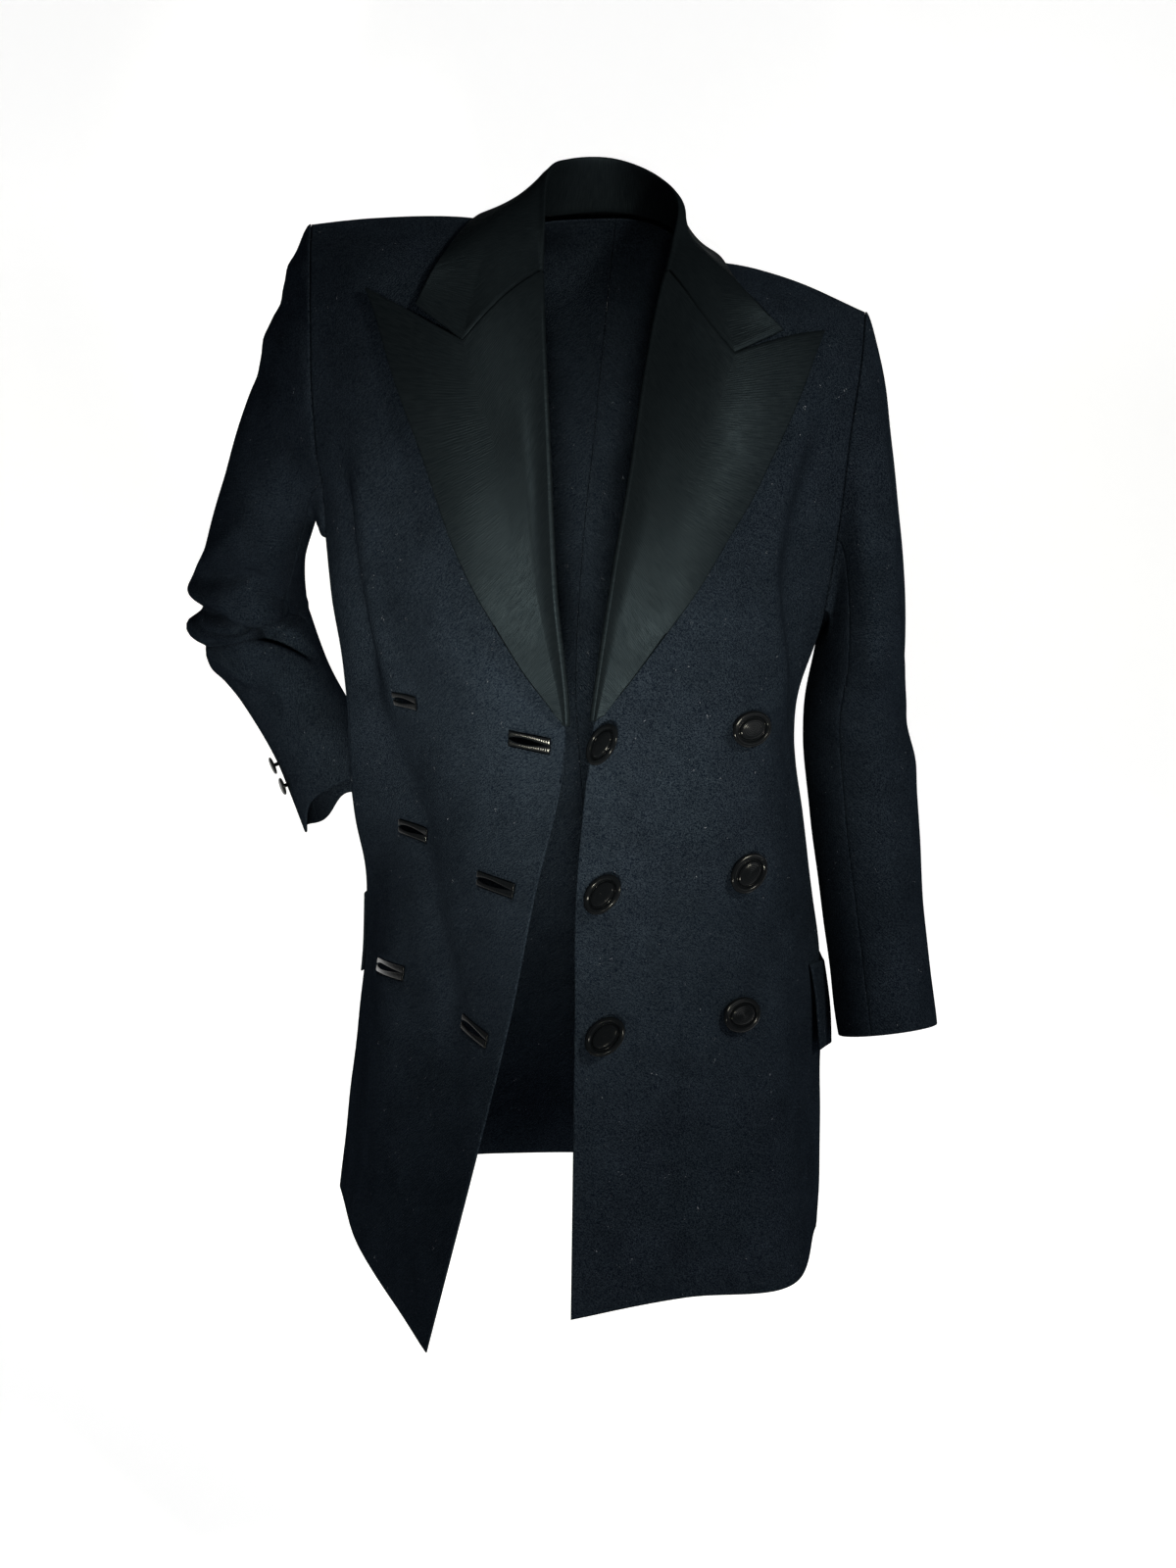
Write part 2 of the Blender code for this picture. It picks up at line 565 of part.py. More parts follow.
def trunk_hollow(points):
    """The body's centre line at each point's height."""
    centre = points.copy()
    centre[..., 0] = -0.005
    centre[..., 1] = 0.0
    centre[..., 2] = np.minimum(centre[..., 2], -0.12)
    return centre


# Buttonholes
def buttonhole_windows(rows):
    """The first row and column of the two cells that each buttonhole fills."""
    marks = column_marks()
    windows = []
    for first in (INNER_HOLE_END, INNER_HOLE_END + COLUMN_SPACING):
        column = int(np.argmin(np.abs(marks - first)))
        for level in BUTTON_ROWS:
            windows.append((int(np.searchsorted(rows, level)) - 1, column))
    return windows


def window_point(points, along, across):
    """A place in a window of two cells: 0 to 2 along it and 0 to 1 across it."""
    start = min(int(along), 1)
    share = along - start
    low = points[0, start] * (1 - share) + points[0, start + 1] * share
    high = points[1, start] * (1 - share) + points[1, start + 1] * share
    return low * (1 - across) + high * across


def build_buttonhole(name, points, normals, material):
    """Two satin lips in a window of the front, with an open slit between them."""
    along_gap = 2 * SEAM_GAP / HOLE_LENGTH
    across_gap = SEAM_GAP / HOLE_WIDTH
    slit = 0.5 - 0.5 * SLIT_WIDTH / HOLE_WIDTH
    loops = []
    for along, across, height in ((along_gap, across_gap, -WOOL_WALL), (along_gap, across_gap, 0.0003),
                                  (0.09, 0.2, LIP_HEIGHT), (0.17, slit, 0.0004), (0.17, slit, -WOOL_WALL)):
        low = [(place, across) for place in (along, 1.0, 2.0 - along)]
        high = [(place, 1.0 - across) for place in (2.0 - along, 1.0, along)]
        loop = [window_point(points, *place) + height * unit(window_point(normals, *place))
                for place in low + high]
        loops.append(loop)
    return loft(name, loops, material, closed=True)


# Lapels and collar
def cloth_frame(table, level, share):
    """A place on a front with its normal and the direction towards its edge."""
    nudge = 0.01
    grid = []
    for step in (-nudge, nudge):
        curve, length = section(front_stations(table, min(level + step, SHOULDER)))
        shares = np.clip(np.array([share - nudge, share, share + nudge]), 0.0, 1.0)
        grid.append(at_distance(curve, length, shares * length[-1]))
    grid = np.array(grid)
    point = grid[:, 1].mean(axis=0)
    to_edge = unit((grid[:, 0] - grid[:, 2]).mean(axis=0))
    upward = grid[1, 1] - grid[0, 1]
    normal = unit(np.cross(to_edge, upward))
    return point, normal if normal[1] < 0 else -normal, to_edge


def lip_points(table, level):
    """The rolled lip that covers a front's edge: behind it, beside it and over it."""
    point, normal, to_edge = cloth_frame(table, level, 0.0)
    beside = point + to_edge * (SATIN_WALL + LIP_CLEARANCE)
    return [beside - normal * LIP_DEPTH, beside + normal * LIP_CLEARANCE,
            point + normal * (SATIN_WALL + CLOTH_CLEARANCE)]


def lifted(table, level, share, lift):
    point, normal, _ = cloth_frame(table, level, share)
    return point + normal * lift


def lapel_row(table, lapel, place):
    """One row of a lapel, from its lip to its outer edge."""
    knots = [row.place for row in lapel.outer_edge]
    edge = glide(knots, [row[1:] for row in lapel.outer_edge], np.array([place]))[0]
    gorge_level = lapel.gorge[0]
    roll_level = BREAK_LEVEL + (gorge_level - BREAK_LEVEL) * place
    notch = np.array(lapel.notch[:2])
    peak = np.array(lapel.outer_edge[-1][1:3])
    gorge = np.array(lapel.gorge)
    row = lip_points(table, roll_level)
    low = SATIN_WALL + CLOTH_CLEARANCE
    for step in FALL_STEPS[1:]:
        straight = np.array((roll_level, 0.0)) * (1 - step) + edge[:2] * step
        notch_step = FALL_STEPS[NOTCH_STEP]
        if step <= notch_step:
            top = gorge + (notch - gorge) * step / notch_step
        else:
            top = notch + (peak - notch) * (step - notch_step) / (1 - notch_step)
        top_straight = gorge * (1 - step) + peak * step
        level, share = straight + (top - top_straight) * place ** 3
        rise = np.sin(0.5 * np.pi * min(step / LAPEL_ROLL_SHARE, 1.0))
        row.append(lifted(table, level, share, low + (edge[2] * CENTIMETRE - low) * rise))
    return np.array(row)


def lapel_grid(table, lapel):
    return np.array([lapel_row(table, lapel, place) for place in LAPEL_STEPS])


def gorge_row(table, lapel, top):
    """The collar's front row: the lapel's gorge seam, then the collar's own front edge."""
    shared = list(top[:NOTCH_STEP + 3])
    level, share, lift = lapel.collar_tip
    tip = lifted(table, level, share, lift * CENTIMETRE)
    free = len(FALL_STEPS) - 1 - NOTCH_STEP
    for index in range(1, free + 1):
        shared.append(shared[NOTCH_STEP + 2] * (1 - index / free) + tip * index / free)
    return np.array(shared)


def collar_row(station):
    """One section of the collar: up the stand, over the roll and down the fall."""
    seam, roll, outer = np.array(station[:3]) * CENTIMETRE
    outward = unit((outer - roll) * (1.0, 1.0, 0.0))
    start = roll + outward * 2 * ROLL_RADIUS - np.array((0.0, 0.0, 0.6 * ROLL_RADIUS))
    away = unit(np.cross(outer - start, np.cross((0.0, 0.0, 1.0), outer - start)))
    row = [seam, roll]
    for step in FALL_STEPS:
        bulge = away * station.swell * CENTIMETRE * np.sin(np.pi * step)
        row.append(start * (1 - step) + outer * step + bulge)
    return np.array(row)


def collar_grid(right_gorge, left_gorge):
    stations = [right_gorge] + [collar_row(row) for row in COLLAR] + [left_gorge]
    return glide(np.arange(len(stations)), np.array(stations), np.linspace(0, len(stations) - 1, COLLAR_ROWS))


def collar_normals(grid):
    """Normals of the collar, turned up and out on its fall."""
    normals = unit(np.cross(np.gradient(grid, axis=1), np.gradient(grid, axis=0)))
    return normals if normals[:, 3:, 2].mean() > 0 else -normals


# Pocket flaps
def hip_row(grids, rows, level):
    """The panels' points at one level, from the front edge round to the centre back."""
    index = int(np.searchsorted(rows, level, side="right")) - 1
    share = (level - rows[index]) / (rows[index + 1] - rows[index])
    low, high = (np.concatenate((grids["front"][row], grids["side"][row, 1:], grids["back"][row, -2::-1]))
                 for row in (index, index + 1))
    return low * (1 - share) + high * share


def flap_grid(grids, rows, flap):
    """A flap on the panels' own points, between its two ends."""
    inside = rows[(rows > flap.bottom) & (rows < flap.top)]
    levels = np.concatenate(([flap.bottom], inside, [flap.top]))
    seam = grids["front"].shape[1] - 1
    lines = [hip_row(grids, rows, level) for level in levels]
    reach = np.mean([running_length(line) - running_length(line)[seam] for line in lines], axis=0)
    between = np.nonzero((reach > flap.front + FLAP_END_ROOM) & (reach < flap.back - FLAP_END_ROOM))[0]
    grid = []
    for line in lines:
        length = running_length(line) - running_length(line)[seam]
        ends = at_distance(line, length, np.array([flap.front, flap.back]))
        grid.append(np.concatenate((ends[:1], line[between], ends[1:])))
    grid = np.array(grid)
    normals = grid_normals(grid, trunk_hollow(grid))
    fall = ((flap.top - levels) / (flap.top - flap.bottom))[:, None, None]
    forward = 1.0 - 0.5 * np.linspace(0.0, 1.0, grid.shape[1])[None, :, None]
    return grid + normals * (FLAP_WALL + FLAP_SEAT + flap.stand_off * fall * forward), normals


# Buttons
def oval(centre, long_axis, short_axis, half_length, half_width, sides):
    angle = np.linspace(0, 2 * np.pi, sides, endpoint=False)[:, None]
    return centre + half_length * np.cos(angle) * long_axis + half_width * np.sin(angle) * short_axis


def build_button(name, point, normal, tangent, profile, shank, turn, lean, sides, material):
    """A covered button on its shank, turned on the cloth and leaning about its long axis."""
    millimetre = 0.001
    across = np.cross(normal, tangent)
    long_axis = tangent * np.cos(turn) + across * np.sin(turn)
    level_axis = np.cross(normal, long_axis)
    short_axis = level_axis * np.cos(lean) - normal * np.sin(lean)
    axis = np.cross(long_axis, short_axis)
    half_width = max(ring.half_width for ring in profile) * millimetre
    height = max(shank * millimetre, half_width * np.sin(lean) + HEAD_CLEARANCE)
    foot_radius = profile[0].half_width * millimetre
    loops = [oval(point + normal * SEAM_GAP, long_axis, level_axis, foot_radius, foot_radius, sides)]
    for ring in profile:
        centre = point + normal * height + axis * ring.height * millimetre
        loops.append(oval(centre, long_axis, short_axis, ring.half_length * millimetre,
                          ring.half_width * millimetre, sides))
    return loft(name, loops, material)


def front_seat(table, level, distance):
    """A place on a front by its level and distance from the edge, with its normal and the
    level direction towards the wearer's left."""
    length = section(front_stations(table, level))[1][-1]
    share = (distance - EDGE_ROLL * ease(level - SECOND_ROW)) / length
    point, normal, to_edge = cloth_frame(table, level, share)
    return point, normal, to_edge if to_edge[0] > 0 else -to_edge


def build_front_buttons(material):
    for index, seat in enumerate(FRONT_BUTTONS, start=1):
        point, normal, tangent = front_seat(LEFT_FRONT, seat.level, seat.distance * CENTIMETRE)
        build_button(f"button_{index}", point, normal, tangent, OVAL_HEAD, SHANK_HEIGHT,
                     np.radians(seat.turn), np.radians(seat.lean), OVAL_SIDES, material)


def build_cuff_buttons(word, sleeve, normals, material):
    """Two buttons beside the back seam, at their distances from the cuff's edge."""
    column = BACK_SEAM + 1
    line = sleeve[::-1, column]
    length = running_length(line)
    for index, distance in enumerate(CUFF_BUTTON_DISTANCES, start=1):
        point = at_distance(line, length, distance)
        normal = unit(at_distance(normals[::-1, column], length, distance))
        along = at_distance(line, length, distance + CENTIMETRE) - point
        tangent = unit(along - normal * np.dot(along, normal))
        build_button(f"cuff_button_{word}_{index}", point, normal, tangent, CUFF_HEAD,
                     CUFF_SHANK_HEIGHT, 0.0, 0.0, CUFF_SIDES, material)


# Whole jacket
def half_grids(side, table, arm, rows, first):
    """The grids and normals of one half's panels and sleeve."""
    front = front_grid(table, rows)
    back = back_grid(side, rows, front[-1])
    panel = side_grid(side, rows[:first + 1], front, back)
    sleeve = sleeve_grid(side, arm, armhole(front, panel, back, first))
    grids = {"front": front, "back": back, "side": panel, "sleeve": sleeve}
    normals = {name: grid_normals(grid, trunk_hollow(grid)) for name, grid in grids.items() if name != "sleeve"}
    normals["sleeve"] = sleeve_normals(sleeve)
    mitre_half(normals, first)
    return grids, normals


def mitre_half(normals, first):
    """Share normals along the side seams, the shoulder and the armhole."""
    front, back, side, sleeve = (normals[name] for name in ("front", "back", "side", "sleeve"))
    below = slice(None, first + 1)
    mitre(front, (below, -1), side, (slice(None), 0))
    mitre(back, (below, -1), side, (slice(None), -1))
    mitre(front, (-1, list(SHOULDER_KNOTS)), back, (-1, slice(NECK_CELLS, None)))
    straighten_shoulder(front[-1])
    count = front.shape[0] - first
    mitre(front, (slice(None, first - 1, -1), -1), sleeve, (0, slice(0, count)))
    mitre(side, (-1, slice(1, -1)), sleeve, (0, slice(count, count + SIDE_PANEL_CELLS - 1)))
    mitre(back, (slice(first, -1), -1), sleeve, (0, slice(count + SIDE_PANEL_CELLS - 1, None)))
    side[-1, 0] = front[first, -1]
    side[-1, -1] = back[first, -1]
    back[-1, -1] = front[-1, -1]


def build_half(side, word, grids, normals, rows, wool, satin):
    windows = buttonhole_windows(rows) if side < 0 else []
    absent = [(row, column + step) for row, column in windows for step in (0, 1)]
    build_wall("front_" + word, grids["front"], normals["front"], WOOL_WALL, wool, ("end", "top"), absent)
    build_wall("side_" + word, grids["side"], normals["side"], WOOL_WALL, wool, ("start", "end", "top"))
    build_wall("back_" + word, grids["back"], normals["back"], WOOL_WALL, wool, ("start", "end", "top"))
    ring = grids["sleeve"].shape[1]
    top = list(range(BACK_SEAM, ring)) + list(range(FRONT_SEAM + 1))
    under = list(range(FRONT_SEAM, BACK_SEAM + 1))
    for piece, order in (("sleeve_top_", top), ("sleeve_under_", under)):
        build_wall(piece + word, grids["sleeve"][:, order], normals["sleeve"][:, order], SLEEVE_WALL,
                   wool, ("bottom", "start", "end"))
    build_cuff_buttons(word, grids["sleeve"], normals["sleeve"], satin)
    for index, (row, column) in enumerate(windows, start=1):
        window = (slice(row, row + 2), slice(column, column + 3))
        build_buttonhole(f"buttonhole_{index}", grids["front"][window], normals["front"][window], satin)


def build_lapels_and_collar(satin):
    gorges = []
    for word, table, lapel in (("right", RIGHT_FRONT, RIGHT_LAPEL), ("left", LEFT_FRONT, LEFT_LAPEL)):
        grid = lapel_grid(table, lapel)
        build_wall("lapel_" + word, grid, grid_normals(grid, trunk_hollow(grid)), SATIN_WALL, satin, ("top",))
        gorges.append(gorge_row(table, lapel, grid[-1]))
    collar = collar_grid(*gorges)
    build_wall("collar", collar, collar_normals(collar), SATIN_WALL, satin, ("bottom", "top"))


def main():
    clear_scene()
    wool = make_material("wool", **WOOL)
    satin = make_material("satin", **SATIN)
    rows = level_rows()
    first = int(np.argmin(np.abs(rows - UNDERARM)))
    right_sleeve = Sleeve(RIGHT_SLEEVE, RIGHT_FOLDS, RIGHT_RINGS)
    left_sleeve = Sleeve(LEFT_SLEEVE, LEFT_FOLDS, LEFT_RINGS)
    halves = ((-1, "right", RIGHT_FRONT, right_sleeve), (1, "left", LEFT_FRONT, left_sleeve))
    built = [half_grids(side, table, arm, rows, first) for side, _, table, arm in halves]
    mitre(built[0][1]["back"], (slice(None), 0), built[1][1]["back"], (slice(None), 0))
    for (side, word, _, _), (grids, normals), flap in zip(halves, built, (RIGHT_FLAP, LEFT_FLAP)):
        build_half(side, word, grids, normals, rows, wool, satin)
        points, flap_normals = flap_grid(grids, rows, flap)
        build_wall("flap_" + word, points, flap_normals, FLAP_WALL, wool)
    build_lapels_and_collar(satin)
    build_front_buttons(satin)


main()
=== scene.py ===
# Double-breasted evening blazer, worn open, with one arm bent and the other hanging
import bpy
import numpy as np
from mathutils import Matrix


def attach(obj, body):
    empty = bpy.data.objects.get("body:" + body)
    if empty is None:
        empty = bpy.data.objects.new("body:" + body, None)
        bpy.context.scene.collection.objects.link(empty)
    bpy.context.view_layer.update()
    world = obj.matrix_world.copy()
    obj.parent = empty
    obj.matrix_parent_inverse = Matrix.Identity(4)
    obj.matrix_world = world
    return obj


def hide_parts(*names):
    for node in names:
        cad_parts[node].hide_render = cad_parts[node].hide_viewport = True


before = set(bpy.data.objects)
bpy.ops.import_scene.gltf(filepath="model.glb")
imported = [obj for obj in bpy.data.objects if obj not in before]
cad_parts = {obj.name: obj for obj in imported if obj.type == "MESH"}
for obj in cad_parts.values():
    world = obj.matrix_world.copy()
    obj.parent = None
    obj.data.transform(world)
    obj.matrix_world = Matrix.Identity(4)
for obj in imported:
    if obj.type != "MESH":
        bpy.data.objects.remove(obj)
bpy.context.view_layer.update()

cm, mm = 0.01, 0.001
scene = bpy.context.scene
print("frame loaded:", len(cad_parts), "nodes")


# Curves and grids
def unit(vectors):  # each vector over its own length
    return vectors / np.linalg.norm(vectors, axis=-1, keepdims=True)


def smoothRise(t):  # 3t² - 2t³, held at 0 and 1 outside its range
    t = np.clip(t, 0, 1)
    return t * t * (3 - 2 * t)


def bell(distance, width):  # e to the minus (distance over width) squared
    return np.exp(-(distance / width) ** 2)


def spread(marks, gap):  # the marks, with even places between them about a gap apart
    parts = [np.linspace(a, b, max(2, round((b - a) / gap) + 1))[:-1] for a, b in zip(marks, marks[1:])]
    return np.concatenate(parts + [np.array(marks[-1:])])


def hermite(share, span, start, end, slopeStart, slopeEnd):
    # start and end mixed by 3t² - 2t³, plus the slopes by t(1-t)² and t²(t-1)
    rise = share * share * (3 - 2 * share)
    return (start * (1 - rise) + end * rise + slopeStart * span * share * (1 - share) ** 2
            + slopeEnd * span * share * share * (share - 1))


def glide(knots, values, at):  # cubic curve through values at rising knots, read at any places
    knots, values, at = np.asarray(knots, float), np.asarray(values, float), np.asarray(at, float)
    slopes = np.gradient(values, knots, axis=0)
    at = np.clip(at, knots[0], knots[-1])
    cell = np.clip(np.searchsorted(knots, at, side="right") - 1, 0, len(knots) - 2)
    span = (knots[cell + 1] - knots[cell]).reshape(at.shape + (1,) * (values.ndim - 1))
    share = (at - knots[cell]).reshape(span.shape) / span
    return hermite(share, span, values[cell], values[cell + 1], slopes[cell], slopes[cell + 1])


def glideRows(stations, samples=321):  # the same curve through every row of stations at once
    step = np.linalg.norm(np.diff(stations, axis=1), axis=2, keepdims=True)
    rise = np.diff(stations, axis=1) / step
    inner = (rise[:, :-1] * step[:, 1:] + rise[:, 1:] * step[:, :-1]) / (step[:, 1:] + step[:, :-1])
    slopes = np.concatenate((rise[:, :1], inner, rise[:, -1:]), axis=1)
    knots = np.concatenate((np.zeros_like(step[:, :1]), np.cumsum(step, axis=1)), axis=1)[..., 0]
    at = np.linspace(0, 1, samples)[None] * knots[:, -1:]
    cell = (at[..., None] >= knots[:, None, 1:-1]).sum(axis=-1)
    pick = lambda table, shift: np.take_along_axis(table, (cell + shift)[..., None], axis=1)
    span = pick(step, 0)
    share = (at[..., None] - pick(knots[..., None], 0)) / span
    return hermite(share, span, pick(stations, 0), pick(stations, 1), pick(slopes, 0), pick(slopes, 1))


def runLength(curve):  # length run along each row
    step = np.linalg.norm(np.diff(curve, axis=-2), axis=-1)
    return np.concatenate((np.zeros(step.shape[:-1] + (1,)), np.cumsum(step, axis=-1)), axis=-1)


def alongRows(curve, distance):  # every row read at its own distances, all rows laid on one long line
    length = runLength(curve)
    shift = (np.arange(len(curve)) * (length.max() + 1))[:, None]
    wanted = (np.clip(distance, 0, length[:, -1:]) + shift).ravel()
    read = [np.interp(wanted, (length + shift).ravel(), curve[..., k].ravel()) for k in range(3)]
    return np.stack(read, axis=-1).reshape(distance.shape + (3,))


def readGrid(grid, row, column):  # the four grid points round a place, mixed by its shares
    row, column = np.clip(row, 0, len(grid) - 1.001), np.clip(column, 0, grid.shape[1] - 1.001)
    i, j = row.astype(int), column.astype(int)
    s, t = (row - i)[..., None], (column - j)[..., None]
    return ((grid[i, j] * (1 - t) + grid[i, j + 1] * t) * (1 - s)
            + (grid[i + 1, j] * (1 - t) + grid[i + 1, j + 1] * t) * s)


def gridNormals(grid):  # cross product of the directions along and up the grid
    return unit(np.cross(np.gradient(grid, axis=1), np.gradient(grid, axis=0)))


def trunkNormals(grid):  # the same, turned away from the upright line inside the body
    hollow = np.stack((np.full(grid.shape[:2], -0.005), np.zeros(grid.shape[:2]),
                       np.minimum(grid[..., 2], -0.12)), axis=-1)
    normals = gridNormals(grid)
    return normals if np.sum(normals * (grid - hollow)) > 0 else -normals


# Materials
def newMaterial(name):
    material = bpy.data.materials.new(name)
    material.use_nodes = True
    return material, material.node_tree, material.node_tree.nodes["Principled BSDF"]


def setInputs(tree, node, values):  # another node's output is linked, anything else is the socket's own value
    for key, value in values.items():
        if isinstance(value, bpy.types.NodeSocket):
            tree.links.new(value, node.inputs[key])
        else:
            node.inputs[key].default_value = value


def addNode(tree, kind, values, **settings):
    node = tree.nodes.new("ShaderNode" + kind)
    for key, value in settings.items():
        setattr(node, key, value)
    setInputs(tree, node, values)
    return node.outputs


def addNoise(tree, place, scale, detail, roughness=.5, distortion=0.0):
    return addNode(tree, "TexNoise", {"Vector": place, "Scale": scale, "Detail": detail,
                                      "Roughness": roughness, "Distortion": distortion})["Fac"]


def addBands(tree, place, perMetre, distortion, detailScale, direction):
    turn = 6.2832  # the wave's scale counts turns, and a turn is this long
    return addNode(tree, "TexWave", {"Vector": place, "Scale": perMetre / turn, "Distortion": distortion,
                                     "Detail": 2.0, "Detail Scale": detailScale},
                   wave_type="BANDS", bands_direction=direction)["Fac"]


def addRange(tree, value, low, high, newLow=0.0, newHigh=1.0):  # low to high becomes newLow to newHigh
    return addNode(tree, "MapRange", {"Value": value, "From Min": low, "From Max": high,
                                      "To Min": newLow, "To Max": newHigh})["Result"]


def addTint(tree, share, colour, other):
    return addNode(tree, "Mix", {"Factor": share, 6: colour, 7: other}, data_type="RGBA")["Result"]


def addBump(tree, height, distance, under=None):
    normal = {"Normal": under} if under else {}
    return addNode(tree, "Bump",
                   {"Strength": 1.0, "Distance": distance, "Height": height, **normal})["Normal"]


woolLook = dict(
    shade=(0.0009, 0.0016, 0.0032), lighter=(0.0068, 0.0094, 0.0134),  # dark cloth and its raised fibres
    lint=(0.06, 0.065, 0.08), lintShare=0.86, lintScale=420, roughness=0.80, specular=0.0,
    threadsPerMetre=1500, napScale=1800, grainScale=900, cloudScale=26,
    weaveHeight=0.00016, napHeight=0.00030, handle=0.00022)


def woolCloth(look):
    # the grain mixes the two shades, slow clouds vary them and rare flecks are lint; clouds, twill and nap
    # are bumps
    material, tree, shader = newMaterial("wool")
    cloth = addNode(tree, "UVMap", {}, uv_map="cloth")["UV"]
    place = addNode(tree, "TexCoord", {})["Object"]
    twill = addBands(tree, cloth, look["threadsPerMetre"], 2.2, 1.4, "DIAGONAL")
    nap = addNoise(tree, place, look["napScale"], 3.0, .65)
    grain = addNoise(tree, place, look["grainScale"], 3.0, .75)
    cloud = addNoise(tree, place, look["cloudScale"], 4.0, .6)
    fluff = addNoise(tree, place, look["lintScale"], 0.0, .5, 1.6)
    tint = addTint(tree, addRange(tree, grain, .40, .62), (*look["shade"], 1), (*look["lighter"], 1))
    clouded = addNode(tree, "VectorMath", {0: tint, "Scale": addRange(tree, cloud, .3, .7, .82, 1.18)},
                      operation="SCALE")["Vector"]
    speck = addRange(tree, fluff, look["lintShare"], look["lintShare"] + 0.02)
    limp = addBump(tree, cloud, look["handle"])
    weave = addBump(tree, twill, look["weaveHeight"], limp)
    setInputs(tree, shader, {
        "Base Color": addTint(tree, speck, clouded, (*look["lint"], 1)),
        "Normal": addBump(tree, nap, look["napHeight"], weave),
        "Roughness": look["roughness"], "Specular IOR Level": look["specular"]})
    return material


satinLook = dict(
    shade=(0.0008, 0.0015, 0.0024), lighter=(0.0066, 0.0088, 0.0106), specular=0.0,
    smooth=0.42, rough=0.54, metallic=0.5, edge=(.25, .25, .25),  # a plain mirror share, dark at its edges
    ribsPerMetre=1100, cloudScale=34, slubScale=(90, 900, 1), ribHeight=0.00006, slubHeight=0.00028)
paintedShadeTrimLook = dict(  # the buttons and the lips: pulled tight and glossier, and darker in colour as painted shade
    satinLook, shade=(.0007, .0009, .0013), lighter=(.0020, .0024, .0029), smooth=.13, rough=.19,
    metallic=.05, specular=.16, slubHeight=.00005)


def satinCloth(look):
    # long slubs mix the two shades, slow clouds vary the gloss; slubs and fine ribs are bumps
    material, tree, shader = newMaterial("satin")
    cloth = addNode(tree, "UVMap", {}, uv_map="cloth")["UV"]
    place = addNode(tree, "TexCoord", {})["Object"]
    ribs = addBands(tree, cloth, look["ribsPerMetre"], 1.2, .6, "Y")
    stretch = addNode(tree, "Mapping", {"Vector": cloth, "Scale": look["slubScale"]})["Vector"]
    slub = addNoise(tree, stretch, 1.0, 3.0, .6)
    cloud = addNoise(tree, place, look["cloudScale"], 3.0)
    uneven = addBump(tree, slub, look["slubHeight"])
    setInputs(tree, shader, {
        "Base Color": addTint(tree, slub, (*look["shade"], 1), (*look["lighter"], 1)),
        "Normal": addBump(tree, ribs, look["ribHeight"], uneven),
        "Roughness": addRange(tree, cloud, .3, .7, look["smooth"], look["rough"]),
        "Specular IOR Level": look["specular"], "Metallic": look["metallic"],
        "Specular Tint": (*look["edge"], 1)})
    return material


# the trim is the lapel satin again, glossier, with its colour darkened as painted shade
wool, satin, paintedShadeTrim = woolCloth(woolLook), satinCloth(satinLook), satinCloth(paintedShadeTrimLook)
print("materials ready")


# Making pieces
def putPiece(name, points, faces, uv, material, node):
    mesh = bpy.data.meshes.new(name)
    mesh.from_pydata(points.tolist(), [], faces if isinstance(faces, list) else faces.tolist())
    corners = np.empty(len(mesh.loops), np.int32)
    mesh.loops.foreach_get("vertex_index", corners)
    mesh.uv_layers.new(name="cloth").data.foreach_set("uv", uv[corners].astype(np.float32).ravel())
    mesh.materials.append(material)
    mesh.shade_smooth()
    piece = bpy.data.objects.new(name, mesh)
    scene.collection.objects.link(piece)
    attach(piece, "root")
    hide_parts(node)


def tileFaces(index):  # the four corners of every cell of an index grid
    return np.stack((index[:-1, :-1], index[:-1, 1:], index[1:, 1:], index[1:, :-1]), axis=-1)


